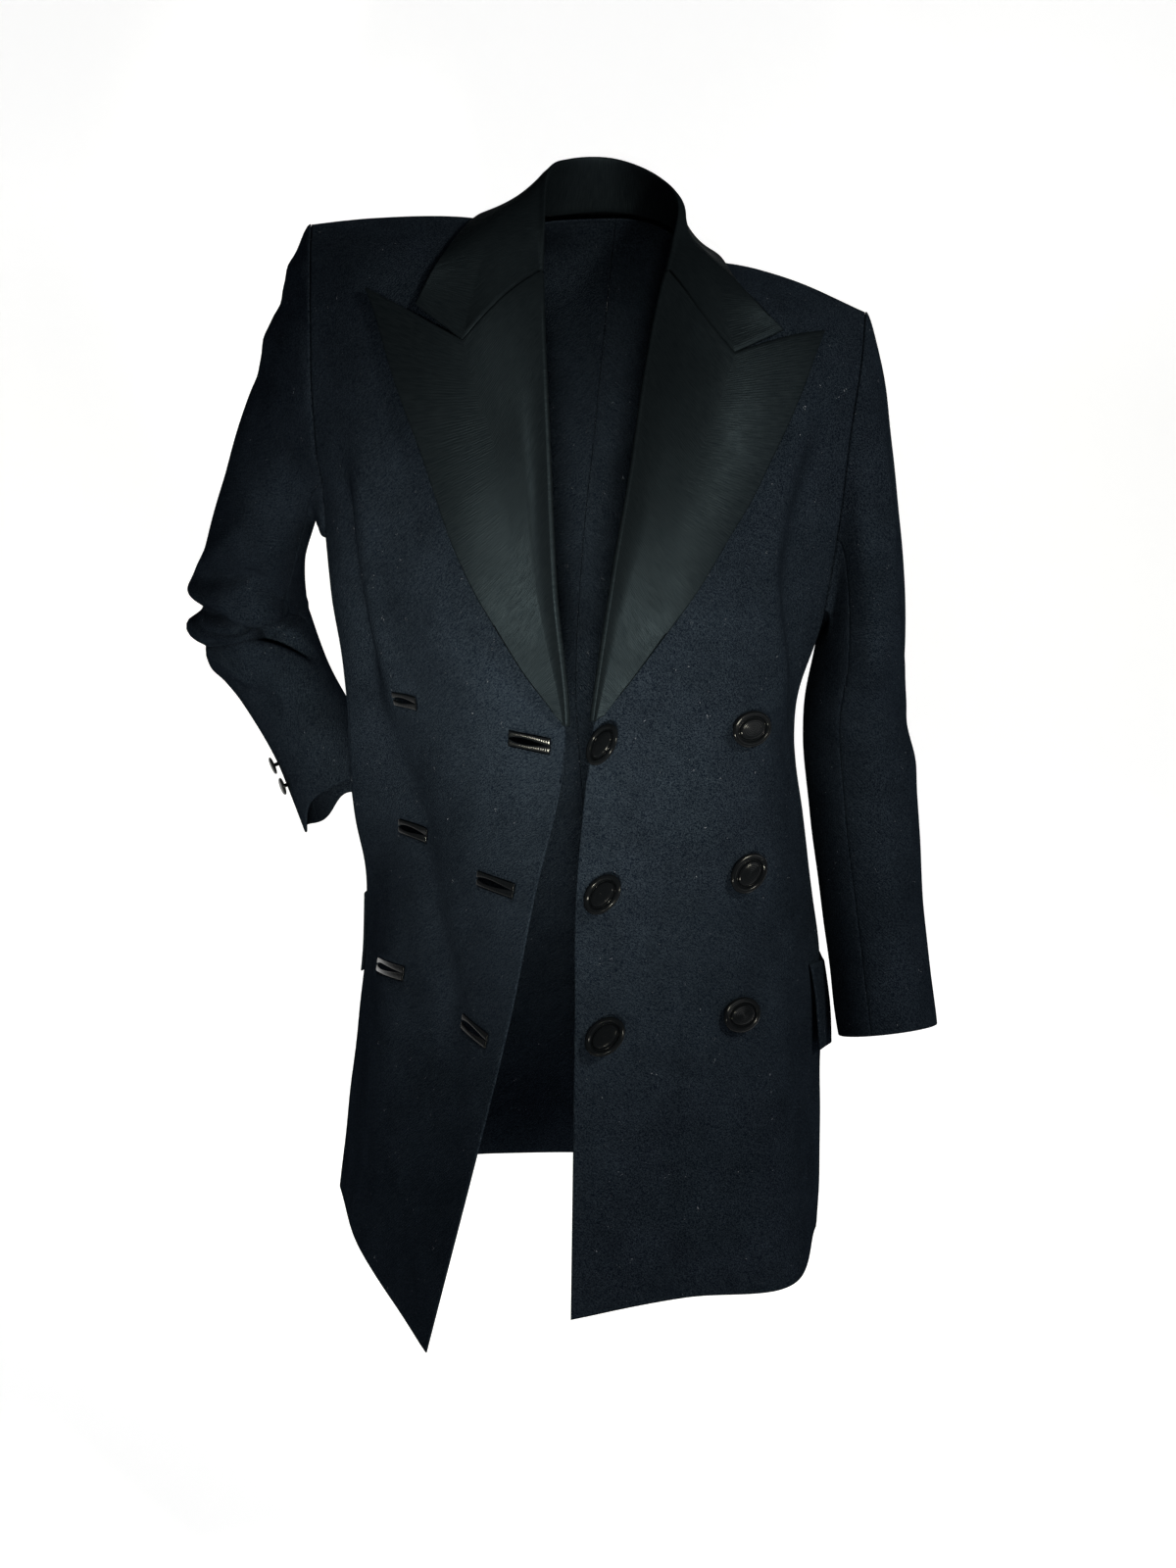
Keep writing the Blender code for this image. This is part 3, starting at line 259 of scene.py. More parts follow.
def clothShell(name, node, outer, normals, thickness, material, seams=(), windows=(),
               seamRound=.9 * mm, seamSink=.8 * mm):
    # outer sheet, half-oval rim and inner sheet; a rim point lies at sin(a) out and cos(a) up
    # from the middle of the cut edge, flatter along a seam than along an open edge
    rows, columns = outer.shape[:2]
    push, sink = np.zeros_like(outer), np.zeros(outer.shape[:2] + (1,))
    for edge, rim, beside in (("bottom", np.s_[0], np.s_[1]), ("top", np.s_[-1], np.s_[-2]),
                              ("start", np.s_[:, 0], np.s_[:, 1]), ("end", np.s_[:, -1], np.s_[:, -2])):
        push[rim] += unit(outer[rim] - outer[beside]) * (seamRound if edge in seams else thickness / 2)
        sink[rim] = np.maximum(sink[rim], seamSink if edge in seams else 0)
    push -= normals * np.sum(push * normals, axis=-1, keepdims=True)
    sheet = outer - push - normals * sink  # a sewn edge is pressed in
    points = [sheet.reshape(-1, 3), (sheet - normals * thickness).reshape(-1, 3)]
    index = np.arange(rows * columns).reshape(rows, columns)
    around = np.concatenate((index[0, :-1], index[:-1, -1], index[-1, :0:-1], index[:0:-1, 0]))
    count, ringLength = rows * columns, len(around)
    flatPush, flatNormals = push.reshape(-1, 3)[around], normals.reshape(-1, 3)[around]
    middle = sheet.reshape(-1, 3)[around] - flatNormals * thickness / 2
    for angle in np.radians((45, 90, 135)):
        points.append(middle + flatPush * np.sin(angle) + flatNormals * thickness / 2 * np.cos(angle))
    rims = [2 * count + k * ringLength + np.arange(ringLength) for k in range(3)]
    rings = [around] + rims + [around + count]
    strip = tileFaces(np.stack([np.append(ring, ring[0]) for ring in rings])).reshape(-1, 4)
    present = np.ones((rows - 1, columns - 1), bool)
    walls = []
    for r0, r1, c0, c1 in windows:
        present[r0:r1, c0:c1] = False
        block = index[r0:r1 + 1, c0:c1 + 1]
        loop = np.concatenate((block[0, :-1], block[:-1, -1], block[-1, :0:-1], block[:0:-1, 0],
                               block[0, :1]))
        walls.append(tileFaces(np.stack((loop, loop + count))).reshape(-1, 4))
    tiles = tileFaces(index)[present]
    faces = np.concatenate([tiles, tiles[:, ::-1] + count, strip[:, ::-1]] + walls)
    crossing = np.cross(outer[:-1, 1:] - outer[:-1, :-1], outer[1:, :-1] - outer[:-1, :-1])
    if np.sum(crossing * normals[:-1, :-1]) < 0:
        faces = faces[:, ::-1]
    along = np.broadcast_to(runLength(outer[:, columns // 2])[:, None], (rows, columns))
    uv = np.stack((runLength(outer), along), axis=-1).reshape(-1, 2)
    uv = np.concatenate((uv, uv, uv[around], uv[around], uv[around]))
    putPiece(name, np.concatenate(points), faces, uv, material, node)


def loftParts(rings):
    # a closed skin through rings of points: cells between the rings, and a fan from each end's middle
    count, sides = rings.shape[:2]
    index = np.arange(count * sides).reshape(count, sides)
    index = np.concatenate((index, index[:, :1]), axis=1)
    fans = [np.stack((row[1:], row[:-1], np.full(sides, pole)), axis=-1)
            for row, pole in ((index[0], count * sides), (index[-1, ::-1], count * sides + 1))]
    points = np.concatenate((rings.reshape(-1, 3), rings[[0, -1]].mean(axis=1)))
    along = np.broadcast_to(runLength(rings[:, 0])[:, None], (count, sides))
    uv = np.concatenate((np.stack((runLength(rings), along), axis=-1).reshape(-1, 2), np.zeros((2, 2))))
    return points, tileFaces(index).reshape(-1, 4), np.concatenate(fans), uv


def loftedPiece(name, node, skins, material):  # one mesh of several closed skins
    points, faces, uv, offset = [], [], [], 0
    for skinPoints, tiles, fans, skinUv in skins:
        points.append(skinPoints)
        uv.append(skinUv)
        faces += (tiles + offset).tolist() + (fans + offset).tolist()
        offset += len(skinPoints)
    putPiece(name, np.concatenate(points), faces, np.concatenate(uv), material, node)


# Body block: levels run from the hem (0) over the button rows (1 to 3), the underarm (4), the chest (5),
# the yoke (6) and the gorge (7) to the shoulder seam (8); sections are in centimetres
rightFront = dict(word="Right", side=-1, sections=[  # front edge, half way, fold to the side, side seam
    [(-12.8, -22.0, -83.7), (-15.3, -15.0, -83.1), (-19.0, -6.0, -81.4), (-21.5, 6.0, -80.2)],
    [(-6.9, -19.5, -60.7), (-10.7, -14.4, -59.3), (-16.0, -7.4, -57.6), (-18.7, 3.0, -57.0)],
    [(-4.6, -17.0, -49.9), (-9.2, -12.7, -48.3), (-13.8, -5.6, -47.0), (-19.1, 2.2, -46.7)],
    [(-2.1, -14.5, -38.4), (-8.5, -13.2, -37.2), (-14.2, -8.4, -35.8), (-18.9, -1.5, -36.0)],
    [(-3.0, -14.2, -26.1), (-10.0, -13.2, -26.0), (-17.2, -8.0, -25.2), (-20.6, -1.8, -23.3)],
    [(-3.5, -12.0, -15.4), (-10.0, -12.3, -15.7), (-17.0, -9.5, -16.0), (-21.4, -5.0, -16.2)],
    [(-3.9, -8.5, -7.5), (-10.0, -9.8, -7.5), (-16.5, -7.8, -7.5), (-21.8, -4.0, -7.6)],
    [(-4.1, -5.0, -3.2), (-10.0, -5.8, -2.6), (-16.5, -5.0, -2.2), (-21.9, -1.8, -2.6)],
    [(-4.7, 1.0, 0.1), (-10.5, 1.0, 0.9), (-16.5, 1.0, 0.7), (-21.9, 0.5, 0.2)]])
leftFront = dict(word="Left", side=1, sections=[
    [(-1.7, -19.5, -82.1), (7.0, -17.0, -81.3), (14.9, -13.6, -81.9), (18.7, -1.0, -81.2)],
    [(-1.4, -17.5, -60.2), (5.8, -15.5, -59.8), (13.4, -11.0, -59.6), (18.6, -1.5, -60.6)],
    [(-1.3, -15.5, -49.6), (5.8, -15.0, -48.8), (13.2, -11.8, -48.2), (17.2, -2.6, -49.4)],
    [(-0.2, -14.5, -38.0), (6.0, -14.2, -37.4), (12.8, -11.8, -37.2), (15.9, -3.5, -38.5)],
    [(1.5, -14.2, -26.1), (7.5, -14.0, -26.4), (13.8, -9.8, -27.0), (18.2, -2.8, -29.6)],
    [(3.0, -12.0, -17.6), (9.0, -12.3, -17.7), (15.3, -9.2, -17.8), (19.6, -5.0, -18.6)],
    [(4.2, -8.6, -10.0), (9.5, -9.6, -10.6), (15.0, -7.8, -11.4), (20.4, -4.0, -12.2)],
    [(5.7, -5.0, -3.4), (10.5, -5.6, -5.0), (15.5, -4.8, -6.8), (20.9, -2.1, -8.9)],
    [(7.5, 1.0, -2.4), (12.5, 1.0, -3.1), (17.0, 1.0, -4.6), (21.3, 0.5, -6.5)]])
sideMiddles = {  # the middle of each side panel, from the hem to the underarm
    -1: [(-19.6, 9.3, -80.2), (-17.8, 6.6, -57.2), (-18.6, 5.4, -46.9), (-19.3, 2.6, -36.2),
         (-20.8, 2.4, -24.4)],
    1: [(18.2, 4.5, -81.0), (18.0, 3.6, -60.5), (16.9, 3.0, -49.2), (15.8, 1.6, -38.4), (18.2, 2.0, -30.9)]}
backSections = [  # right seam, right blade, centre, left blade, left seam
    [(-17.2, 11.8, -80.3), (-9.5, 15.0, -80.5), (-0.6, 16.0, -80.7), (8.3, 14.6, -80.8), (15.9, 9.5, -80.9)],
    [(-15.6, 9.6, -57.6), (-8.6, 12.6, -58.4), (-0.2, 13.4, -59.2), (8.0, 12.4, -59.8), (15.6, 8.0, -60.3)],
    [(-16.7, 8.3, -47.2), (-9.2, 10.8, -47.9), (-0.8, 11.2, -48.3), (7.4, 10.5, -48.7), (14.6, 7.2, -49.0)],
    [(-17.6, 6.9, -36.4), (-9.6, 9.6, -36.9), (-1.4, 9.8, -37.4), (6.8, 9.3, -37.8), (14.0, 6.2, -38.2)],
    [(-19.6, 6.6, -22.9), (-10.0, 11.4, -24.6), (-0.8, 11.9, -26.2), (8.4, 11.0, -27.8), (17.2, 6.5, -29.4)],
    [(-21.3, 6.9, -15.0), (-10.5, 11.9, -15.6), (0.2, 12.2, -16.5), (10.2, 11.2, -18.0), (19.5, 6.4, -20.5)],
    [(-21.9, 5.3, -7.0), (-10.6, 9.8, -7.6), (1.0, 10.6, -8.2), (11.6, 9.0, -9.8), (20.6, 5.0, -12.8)],
    [(-22.0, 2.9, -2.4), (-10.6, 6.2, -2.4), (1.5, 8.9, -3.0), (12.0, 5.6, -5.0), (21.0, 2.8, -8.8)],
    [(-21.9, 0.5, 0.2), (-10.6, 2.2, 0.6), (1.8, 7.0, 0.6), (12.6, 2.2, -2.4), (21.3, 0.5, -6.5)]]

cloth = dict(
    woolThickness=1.9 * mm, sleeveThickness=1.9 * mm, satinThickness=2.1 * mm, flapThickness=2.2 * mm,
    bodyWaves=.9 * mm, sleeveWaves=.8 * mm)
sleeveSeam = (.5 * mm, .2 * mm)  # how far a sleeve's sewn edges are rounded and pressed in
satinSeam = 1.1 * mm
holeRows = dict(halfHeight=.62, levelHeight={1: 17, 2: 11, 3: 11}, edgeRoll=1.1, rollWidth=1.5,
                besideReach=3.5, aboveReach=4.5, places=[
    # level, centimetres from the front edge, length, how far the far end is lowered
    (3, 2.2, 3.4, 0), (2, 1.9, 4.2, .6), (1, 2.1, 3.6, 0), (3, 14.4, 2.6, 0), (2, 14.4, 3.6, 0),
    (1, 13.2, 5.6, 1.2)])
levels = np.concatenate((spread([0, .9635, 1.0365, 1.9436, 2.0564, 2.9436, 3.0564, 4], .035),
                         spread([4, 4.5, 5], .035)[1:], spread([5, 6, 7, 8], .06)[1:]))
underarmRow, seamRow = int(np.argmin(np.abs(levels - 4))), int(np.argmin(np.abs(levels - 4.5)))
columnMarks = spread([0, 1.5, 5.3, 13.0, 18.8], .25)  # centimetres from the front edge
sideShares = np.linspace(0, 1, 28)[1:]  # of the rest of the width, to the side seam
sideColumns, neckColumns, shoulderColumns, neckShare = 33, 24, 61, .375

# Folds on the fronts: height in millimetres, half width in centimetres, and the line as pairs of a level
# and centimetres from the edge
rightFront["folds"] = [
    (6.5, 1.5, [(2.6, 15.6), (3.1, 16.3), (3.62, 16.6), (4.28, 15.8), (5.2, 14.2)]),
    (-7.0, 1.4, [(2.6, 19.0), (3.1, 18.9), (3.62, 18.9), (4.28, 18.2), (5.2, 16.6)]),
    (8.0, 3.0, [(1.2, 23.5), (2.2, 23.0), (3.2, 22.5), (4.0, 22.0), (4.7, 21.0)]),
    (-4.2, 2.0, [(0.3, 3.4), (1.06, 7.2), (1.78, 13.1), (2.68, 17.1), (3.1, 18.0)]),
    (2.2, 2.8, [(0.0, 13.5), (0.9, 15.5), (1.7, 18.8)])]
leftFront["folds"] = [
    (6.5, 1.6,
     [(2.4, 22.6), (2.72, 21.6), (3.0, 18.3), (3.88, 13.7), (4.48, 12.3), (5.52, 12.6), (6.2, 13.4)]),
    (-9.0, 2.2, [(2.9, 22.2), (3.3, 20.0), (3.88, 17.0), (4.48, 15.8), (5.4, 16.0), (6.2, 16.4)]),
    (-3.0, 1.7, [(0.6, 6.2), (1.16, 6.6), (2.02, 7.7), (2.9, 8.4)]),
    (2.2, 2.6, [(0.0, 17.0), (0.8, 18.2), (1.7, 20.5)])]

# The pull towards the bent arm, slack at the waist and a soft swing in the skirt: height in millimetres,
# half width in centimetres, how sharply the ends fade, and the path in centimetres
backCreases = [
    (4.5, 1.3, .5, [(-19.5, 6.8, -24.0), (-14.5, 9.0, -29.5), (-8.0, 10.6, -36.0)]),
    (-4.0, 1.4, .5, [(-19.0, 6.8, -27.5), (-14.0, 8.8, -33.0), (-7.0, 10.2, -40.0)]),
    (3.0, 1.4, .5, [(-20.5, 6.8, -18.0), (-16.0, 9.8, -21.0), (-10.0, 11.5, -26.0)]),
    (4.0, 1.3, .5, [(11.0, 10.6, -21.0), (9.3, 10.4, -31.0), (8.6, 10.3, -42.0)]),
    (-3.5, 1.4, .5, [(13.6, 9.2, -23.0), (11.6, 8.8, -33.0), (11.0, 8.9, -43.0)]),
    (3.5, 1.0, .5, [(-13.0, 9.2, -44.0), (-9.0, 10.6, -45.5), (-4.0, 11.2, -46.0)]),
    (-3.0, 1.1, .5, [(-12.6, 9.6, -47.4), (-8.6, 10.9, -48.6), (-4.0, 11.4, -49.2)]),
    (3.2, 1.0, .5, [(4.0, 10.8, -47.0), (8.6, 10.4, -47.8), (12.6, 8.6, -49.4)]),
    (4.5, 2.0, .5, [(-8.2, 12.9, -60.0), (-9.4, 14.2, -70.0), (-10.6, 14.8, -80.5)]),
    (5.0, 2.2, .5, [(7.0, 12.5, -61.0), (8.8, 13.6, -71.0), (10.0, 14.2, -80.5)]),
    (2.4, 1.2, .5, [(-13.5, 7.6, -7.0), (-9.0, 9.8, -9.5), (-4.5, 10.8, -10.5)])]


def foldHeight(folds, along, across):  # bells across each fold's line, faded at the line's two ends
    lift = np.zeros(np.broadcast(along, across).shape)
    for height, width, line in folds:
        line = np.array(line)
        start, end = line[0, 0], line[-1, 0]
        fade = 0.35 * (end - start)
        ends = smoothRise((along - start) / fade) * smoothRise((end - along) / fade)
        centre = glide(line[:, 0], line[:, 1], np.ravel(along)).reshape(np.shape(along))
        lift = lift + height * mm * ends * bell(across - centre, width)
    return lift


def creaseHeight(grid, creases):
    # bells of each grid point's distance to a crease's path through space, faded along the path by a sine
    lift, points = np.zeros(grid.shape[:2]), grid.reshape(-1, 3)
    for height, width, sharpness, line in creases:
        line = np.array(line) * cm
        path = glide(np.arange(len(line)), line, np.linspace(0, len(line) - 1, 25))
        nearest = np.argmin(np.linalg.norm(points[None] - path[:, None], axis=-1), axis=1)
        path = points[nearest]  # laid onto the cloth
        for _ in range(3):
            path[1:-1] = (path[:-2] + 2 * path[1:-1] + path[2:]) / 4
        start, step = path[:-1], np.diff(path, axis=0)
        offset = grid[:, :, None] - start
        share = np.clip(np.sum(offset * step, axis=-1) / (np.sum(step * step, axis=-1) + 1e-9), 0, 1)
        away = np.linalg.norm(offset - share[..., None] * step, axis=-1)
        nearest = np.argmin(away, axis=-1)[..., None]
        along = (nearest + np.take_along_axis(share, nearest, axis=-1))[..., 0] / len(step)
        fade = np.sin(np.pi * np.clip(along, .02, .98)) ** sharpness
        lift += height * mm * fade * bell(away.min(axis=-1) / cm, width)
    return lift


def softWaves(points, amount):  # slow waves of the place itself, so that neighbouring pieces agree
    x, y, z = (points[..., k] / cm for k in range(3))
    return amount * (np.sin(0.31 * x + 0.17 * z + 0.6) * np.sin(0.23 * z - 0.29 * y + 1.1)
                     + 0.6 * np.sin(0.47 * z + 0.21 * x + 2.0) * np.sin(0.37 * x - 0.26 * y)
                     + 0.35 * np.sin(0.83 * z - 0.33 * x + 0.4) * np.sin(0.55 * x + 0.61 * y + 0.9))


def sectionCurves(sections, at):  # the sections as smooth curves, glided from level to level
    return glideRows(glide(np.arange(len(sections)), np.array(sections) * cm, at))


def frontDistances(front, at, widths):
    # centimetre marks shifted by the edge's roll above level 2, and scaled with the width above level 3
    near = np.clip(columnMarks / holeRows["rollWidth"], 0, 1)
    roll = holeRows["edgeRoll"] * smoothRise(at - 2)[:, None] * near
    marks = (columnMarks - roll) * cm
    rowWidth = runLength(sectionCurves(front["sections"], np.array([3.0])))[0, -1]
    marks = marks * np.where(at > 3, widths / rowWidth, 1.0)[:, None]
    rest = marks[:, -1:] + (widths[:, None] - marks[:, -1:]) * sideShares
    return np.concatenate((marks, rest), axis=1)


def frontGrid(front):
    curves = sectionCurves(front["sections"], levels)
    distances = frontDistances(front, levels, runLength(curves)[:, -1])
    return alongRows(curves, distances), distances


def tiltHoles(grid, distances):
    # every column is read lower by a hole's slope times the distance from its middle, faded out around it
    lower = np.zeros(distances.shape)
    for level, start, length, drop in holeRows["places"]:
        across = distances / cm - start - length / 2
        beside = np.maximum(np.abs(across) - length / 2, 0) / holeRows["besideReach"]
        away = np.abs(levels - level)[:, None] * holeRows["levelHeight"][level] - holeRows["halfHeight"]
        above = np.maximum(away, 0) / holeRows["aboveReach"]
        share = np.clip(across / length, -.5, .5)
        lower += drop * cm * share * smoothRise(1 - beside) * smoothRise(1 - above)
    columns = np.swapaxes(grid, 0, 1)
    return np.swapaxes(alongRows(columns, runLength(columns) - lower.T), 0, 1)


def shoulderSeam(frontTop):  # the front's top row, read at the back's even columns
    return alongRows(frontTop[None], np.linspace(0, 1, shoulderColumns)[None] * runLength(frontTop)[-1])[0]


def backGrid(side, frontTop):
    # columns from the centre seam out; above the gorge the rows rise to the neckline and the shoulder seam
    curves = sectionCurves(backSections, levels)
    length = runLength(curves)
    stations = glide(np.arange(9), np.array(backSections) * cm, levels)
    knots = runLength(stations)
    middle = np.array([np.interp(k / last, np.linspace(0, 1, curves.shape[1]), row)
                       for k, last, row in zip(knots[:, 2], knots[:, -1], length)])[:, None]
    shares = np.concatenate((np.linspace(0, neckShare, neckColumns + 1)[:-1],
                             neckShare + (1 - neckShare) * np.linspace(0, 1, shoulderColumns)))
    end = 0 if side < 0 else length[:, -1:]
    grid = alongRows(curves, middle + (end - middle) * shares)
    turn = np.linspace(0, np.pi / 2, neckColumns + 1)[:-1]
    centre, neck = np.array(backSections[-1][2]) * cm, frontTop[0]
    reach = neck - centre
    neckline = np.stack((centre[0] + reach[0] * np.sin(turn), neck[1] - reach[1] * np.cos(turn),
                         centre[2] + reach[2] * (1 - np.cos(turn))), axis=-1)
    top = np.concatenate((neckline, shoulderSeam(frontTop)))
    lift = smoothRise(levels - 7)[:, None, None]
    return grid + lift * (top - grid[-1])


def sideGrid(side, front, back):  # each row runs from the front's seam over the middle to the back's seam
    middle = glide(np.arange(5), np.array(sideMiddles[side]) * cm, levels[:underarmRow + 1])
    below = slice(None, underarmRow + 1)
    curves = glideRows(np.stack((front[below, -1], middle, back[below, -1]), axis=1))
    return alongRows(curves, runLength(curves)[:, -1:] * np.linspace(0, 1, sideColumns))


# Sleeves: each ring is its centre, half width and half depth in centimetres and the turn of its seams in
# degrees; each fold is its place along the rings, its reach, its height in centimetres, and the side that it
# faces with its spread in degrees; creases are as on the back
rightArm = dict(
    rings=[(-26.2, 9.0, -21.6, 4.0, 7.8, 0), (-28.2, 13.2, -27.5, 4.2, 7.4, 8),
           (-28.9, 15.6, -32.9, 4.9, 6.8, 25), (-26.2, 14.3, -38.0, 4.1, 6.4, 45),
           (-23.2, 12.2, -42.8, 3.9, 6.0, 65), (-20.8, 10.0, -47.5, 4.2, 5.8, 80)],
    folds=[(1.80, .09, -.7, 325, 75), (2.00, .08, .3, 325, 90), (2.16, .10, -.9, 330, 80),
           (2.48, .12, .4, 320, 60)],
    creases=[
        (5, 1.1, 1.0,
         [(-33.4, 15.0, -29.4), (-32.9, 13.2, -28.6), (-30.6, 7.2, -26.3), (-28.4, 3.3, -24.2),
          (-26.8, 1.2, -22.2)]),
        (6, 1.0, .5, [(-34.2, 17.0, -33.8), (-33.0, 13.5, -33.5), (-31.5, 11.0, -33.7)]),
        (-8, .9, .5,
         [(-32.6, 11.5, -28.9), (-30.6, 7.4, -28.5), (-28.7, 5.0, -28.1), (-27.1, 4.3, -28.4),
          (-25.4, 8.2, -30.5)]),
        (-4, .9, .5, [(-32.3, 10.5, -29.8), (-31.0, 8.4, -30.2), (-29.2, 6.8, -31.3)]),
        (-16, .7, .3,
         [(-34.4, 16.6, -31.9), (-32.3, 10.3, -31.8), (-30.1, 8.3, -32.2), (-27.7, 8.7, -32.8),
          (-25.7, 9.6, -33.4), (-23.4, 10.6, -34.9)]),
        (9, 1.1, .3,
         [(-34.4, 16.4, -30.6), (-32.3, 10.0, -30.3), (-30.1, 7.9, -30.5), (-27.7, 8.2, -31.0),
          (-25.9, 9.2, -31.7)]),
        (6, .8, .5, [(-32.4, 12.6, -34.6), (-30.7, 10.2, -35.8), (-29.5, 9.8, -36.7), (-28.0, 9.0, -37.9)]),
        (-6.5, 1.0, .5, [(-29.0, 9.4, -38.3), (-27.4, 8.6, -38.8), (-25.6, 7.6, -39.4)]),
        (2.6, .9, .5, [(-22.6, -3.5, -3.4), (-23.9, 1.0, -3.0), (-23.4, 5.5, -3.6)]),
        (-2.6, .9, .5, [(-23.2, -4.0, -6.4), (-24.4, 1.0, -6.0), (-24.4, 6.0, -6.2)]),
        (2.6, 1.0, .5, [(-23.8, -4.0, -9.2), (-25.2, 1.0, -8.8), (-25.2, 6.0, -9.2)]),
        (-2.0, 1.0, .5, [(-24.2, -4.0, -12.6), (-25.9, 1.0, -11.9), (-26.4, 6.0, -12.2)])],
    buttons=301,  # the side that the cuff buttons lie on
    cuff=[(290, 24, 1.5), (185, 26, -1.8)])  # sides of the cuff with their spread and how far they hang down
leftArm = dict(
    rings=[(21.5, 2.6, -33.5, 3.6, 8.0, 0), (21.3, 3.0, -39.0, 4.2, 7.3, 0), (21.9, 2.0, -46.0, 4.4, 6.6, 0),
           (22.8, -0.2, -55.0, 4.1, 6.0, 0), (23.9, -2.2, -64.0, 4.0, 5.4, 0)],
    folds=[(1.10, .20, -.3, 300, 70), (1.60, .25, .3, 330, 70)],
    creases=[
        (3.5, .8, .5,
         [(22.3, -3.0, -15.0), (22.7, -3.3, -18.9), (23.2, -3.5, -23.0), (23.5, -3.9, -27.7),
          (24.1, -3.1, -31.8)]),
        (-3.0, 1.0, .5,
         [(23.6, -1.0, -16.0), (24.2, -.6, -20.0), (24.6, .2, -25.0), (24.8, .0, -30.0), (25.0, .2, -33.0)]),
        (-2.0, 1.4, .5, [(20.0, -5.2, -26.0), (20.4, -5.6, -33.0), (20.8, -5.2, -41.0)]),
        (1.6, 1.6, .5, [(22.6, -4.8, -38.0), (23.0, -5.4, -45.0), (23.8, -6.2, -53.0)]),
        (3.5, 1.0, .5, [(24.8, 6.0, -37.0), (21.5, 9.8, -39.0), (18.3, 7.0, -38.5)]),
        (-3.5, 1.0, .5, [(25.0, 6.0, -40.0), (21.5, 9.8, -41.8), (18.3, 7.0, -41.0)])],
    buttons=270,
    cuff=[(250, 20, .3)])
sleeveCut = dict(capReach=2.8, capFall=.9, bendSpread=.8, cuffReach=.6, capRows=56, ringGap=.034,
                 smoothRows=9)


def turnedAway(angle, facing):  # degrees from the side that something faces, from -180 to 180
    return (np.degrees(angle) - facing + 180) % 360 - 180


def sleeveRings(side, arm, place, angle):
    # ovals square to the arm's path, turned with the seams, moved out by the folds' bells along and round it
    rings = np.array(arm["rings"])
    knots = np.arange(len(rings))
    data = glide(knots, rings[:, :5], place)
    centre, size = data[:, :3] * cm, data[:, 3:] * cm
    spreadBy = sleeveCut["bendSpread"]
    path = unit(glide(knots, rings[:, :3], place + spreadBy) - glide(knots, rings[:, :3], place - spreadBy))
    outer = unit(np.array([side, 0.0, 0.0]) - path * path[:, :1] * side)
    ahead = np.cross(path, outer) * side
    angle = angle[None] + np.radians(np.interp(place, knots, rings[:, 5]))[:, None]
    spoke = ((size[:, :1] * np.cos(angle))[..., None] * outer[:, None]
             + (size[:, 1:] * np.sin(angle))[..., None] * ahead[:, None])
    height = np.zeros(angle.shape)
    for at, reach, rise, facing, width in arm["folds"]:
        height += rise * cm * bell(place[:, None] - at, reach) * bell(turnedAway(angle, facing), width)
    return centre[:, None] + spoke + unit(spoke) * height[..., None], path


def sleeveGrid(side, arm, ring):
    # from the armhole's ring the cap swings out and down onto the first oval, then the ovals follow
    share = runLength(np.concatenate((ring, ring[:1])))
    angle = 2 * np.pi * share[:-1] / share[-1]
    arm["angles"] = np.degrees(angle)
    first, path = sleeveRings(side, arm, np.zeros(1), angle)
    step = np.linspace(0, 1, sleeveCut["capRows"])[:, None, None]
    rise = step * step * (3 - 2 * step)
    outward = np.array([side, 0.0, 0.0]) * sleeveCut["capReach"] * cm
    fall = np.linalg.norm(first[0] - ring, axis=1)[:, None] * sleeveCut["capFall"] * path[0]
    cap = (ring * (1 - rise) + first[0] * rise + outward * step * (1 - step) ** 2
           + fall * step * step * (step - 1))
    last = len(arm["rings"]) - 1
    place = spread([0, last], sleeveCut["ringGap"])[1:]
    rings, path = sleeveRings(side, arm, place, angle)
    hang = sum(drop * cm * bell(turnedAway(angle, facing), width) for facing, width, drop in arm["cuff"])
    reach = sleeveCut["cuffReach"]
    hang = hang * smoothRise((place[:, None] - last + reach) / reach)
    return np.concatenate((cap, rings + hang[..., None] * path[:, None]))


def sleeveNormals(grid):  # the grid wrapped round by a column on each side, turned away from the arm
    wrapped = np.concatenate((grid[:, -1:], grid, grid[:, :1]), axis=1)
    normals = gridNormals(wrapped)[:, 1:-1]
    return normals if np.sum(normals * (grid - grid.mean(axis=1, keepdims=True))) > 0 else -normals


def mitre(first, firstPlace, second, secondPlace):  # both pieces take the mean of their normals along a seam
    mean = unit(first[firstPlace] + second[secondPlace])
    first[firstPlace] = mean
    second[secondPlace] = mean


def shareShoulder(grids, normals):  # front and back take the mean of their normals along the shoulder seam
    seams = grids["front"][-1], grids["back"][-1, neckColumns:]
    frontShare, backShare = (runLength(row) / runLength(row)[-1] for row in seams)
    moved = [np.interp(backShare, frontShare, normals["front"][-1, :, k]) for k in range(3)]
    mean = unit(np.stack(moved, axis=-1) + normals["back"][-1, neckColumns:])
    normals["back"][-1, neckColumns:] = mean
    moved = [np.interp(frontShare, backShare, mean[:, k]) for k in range(3)]
    normals["front"][-1] = unit(np.stack(moved, axis=-1))


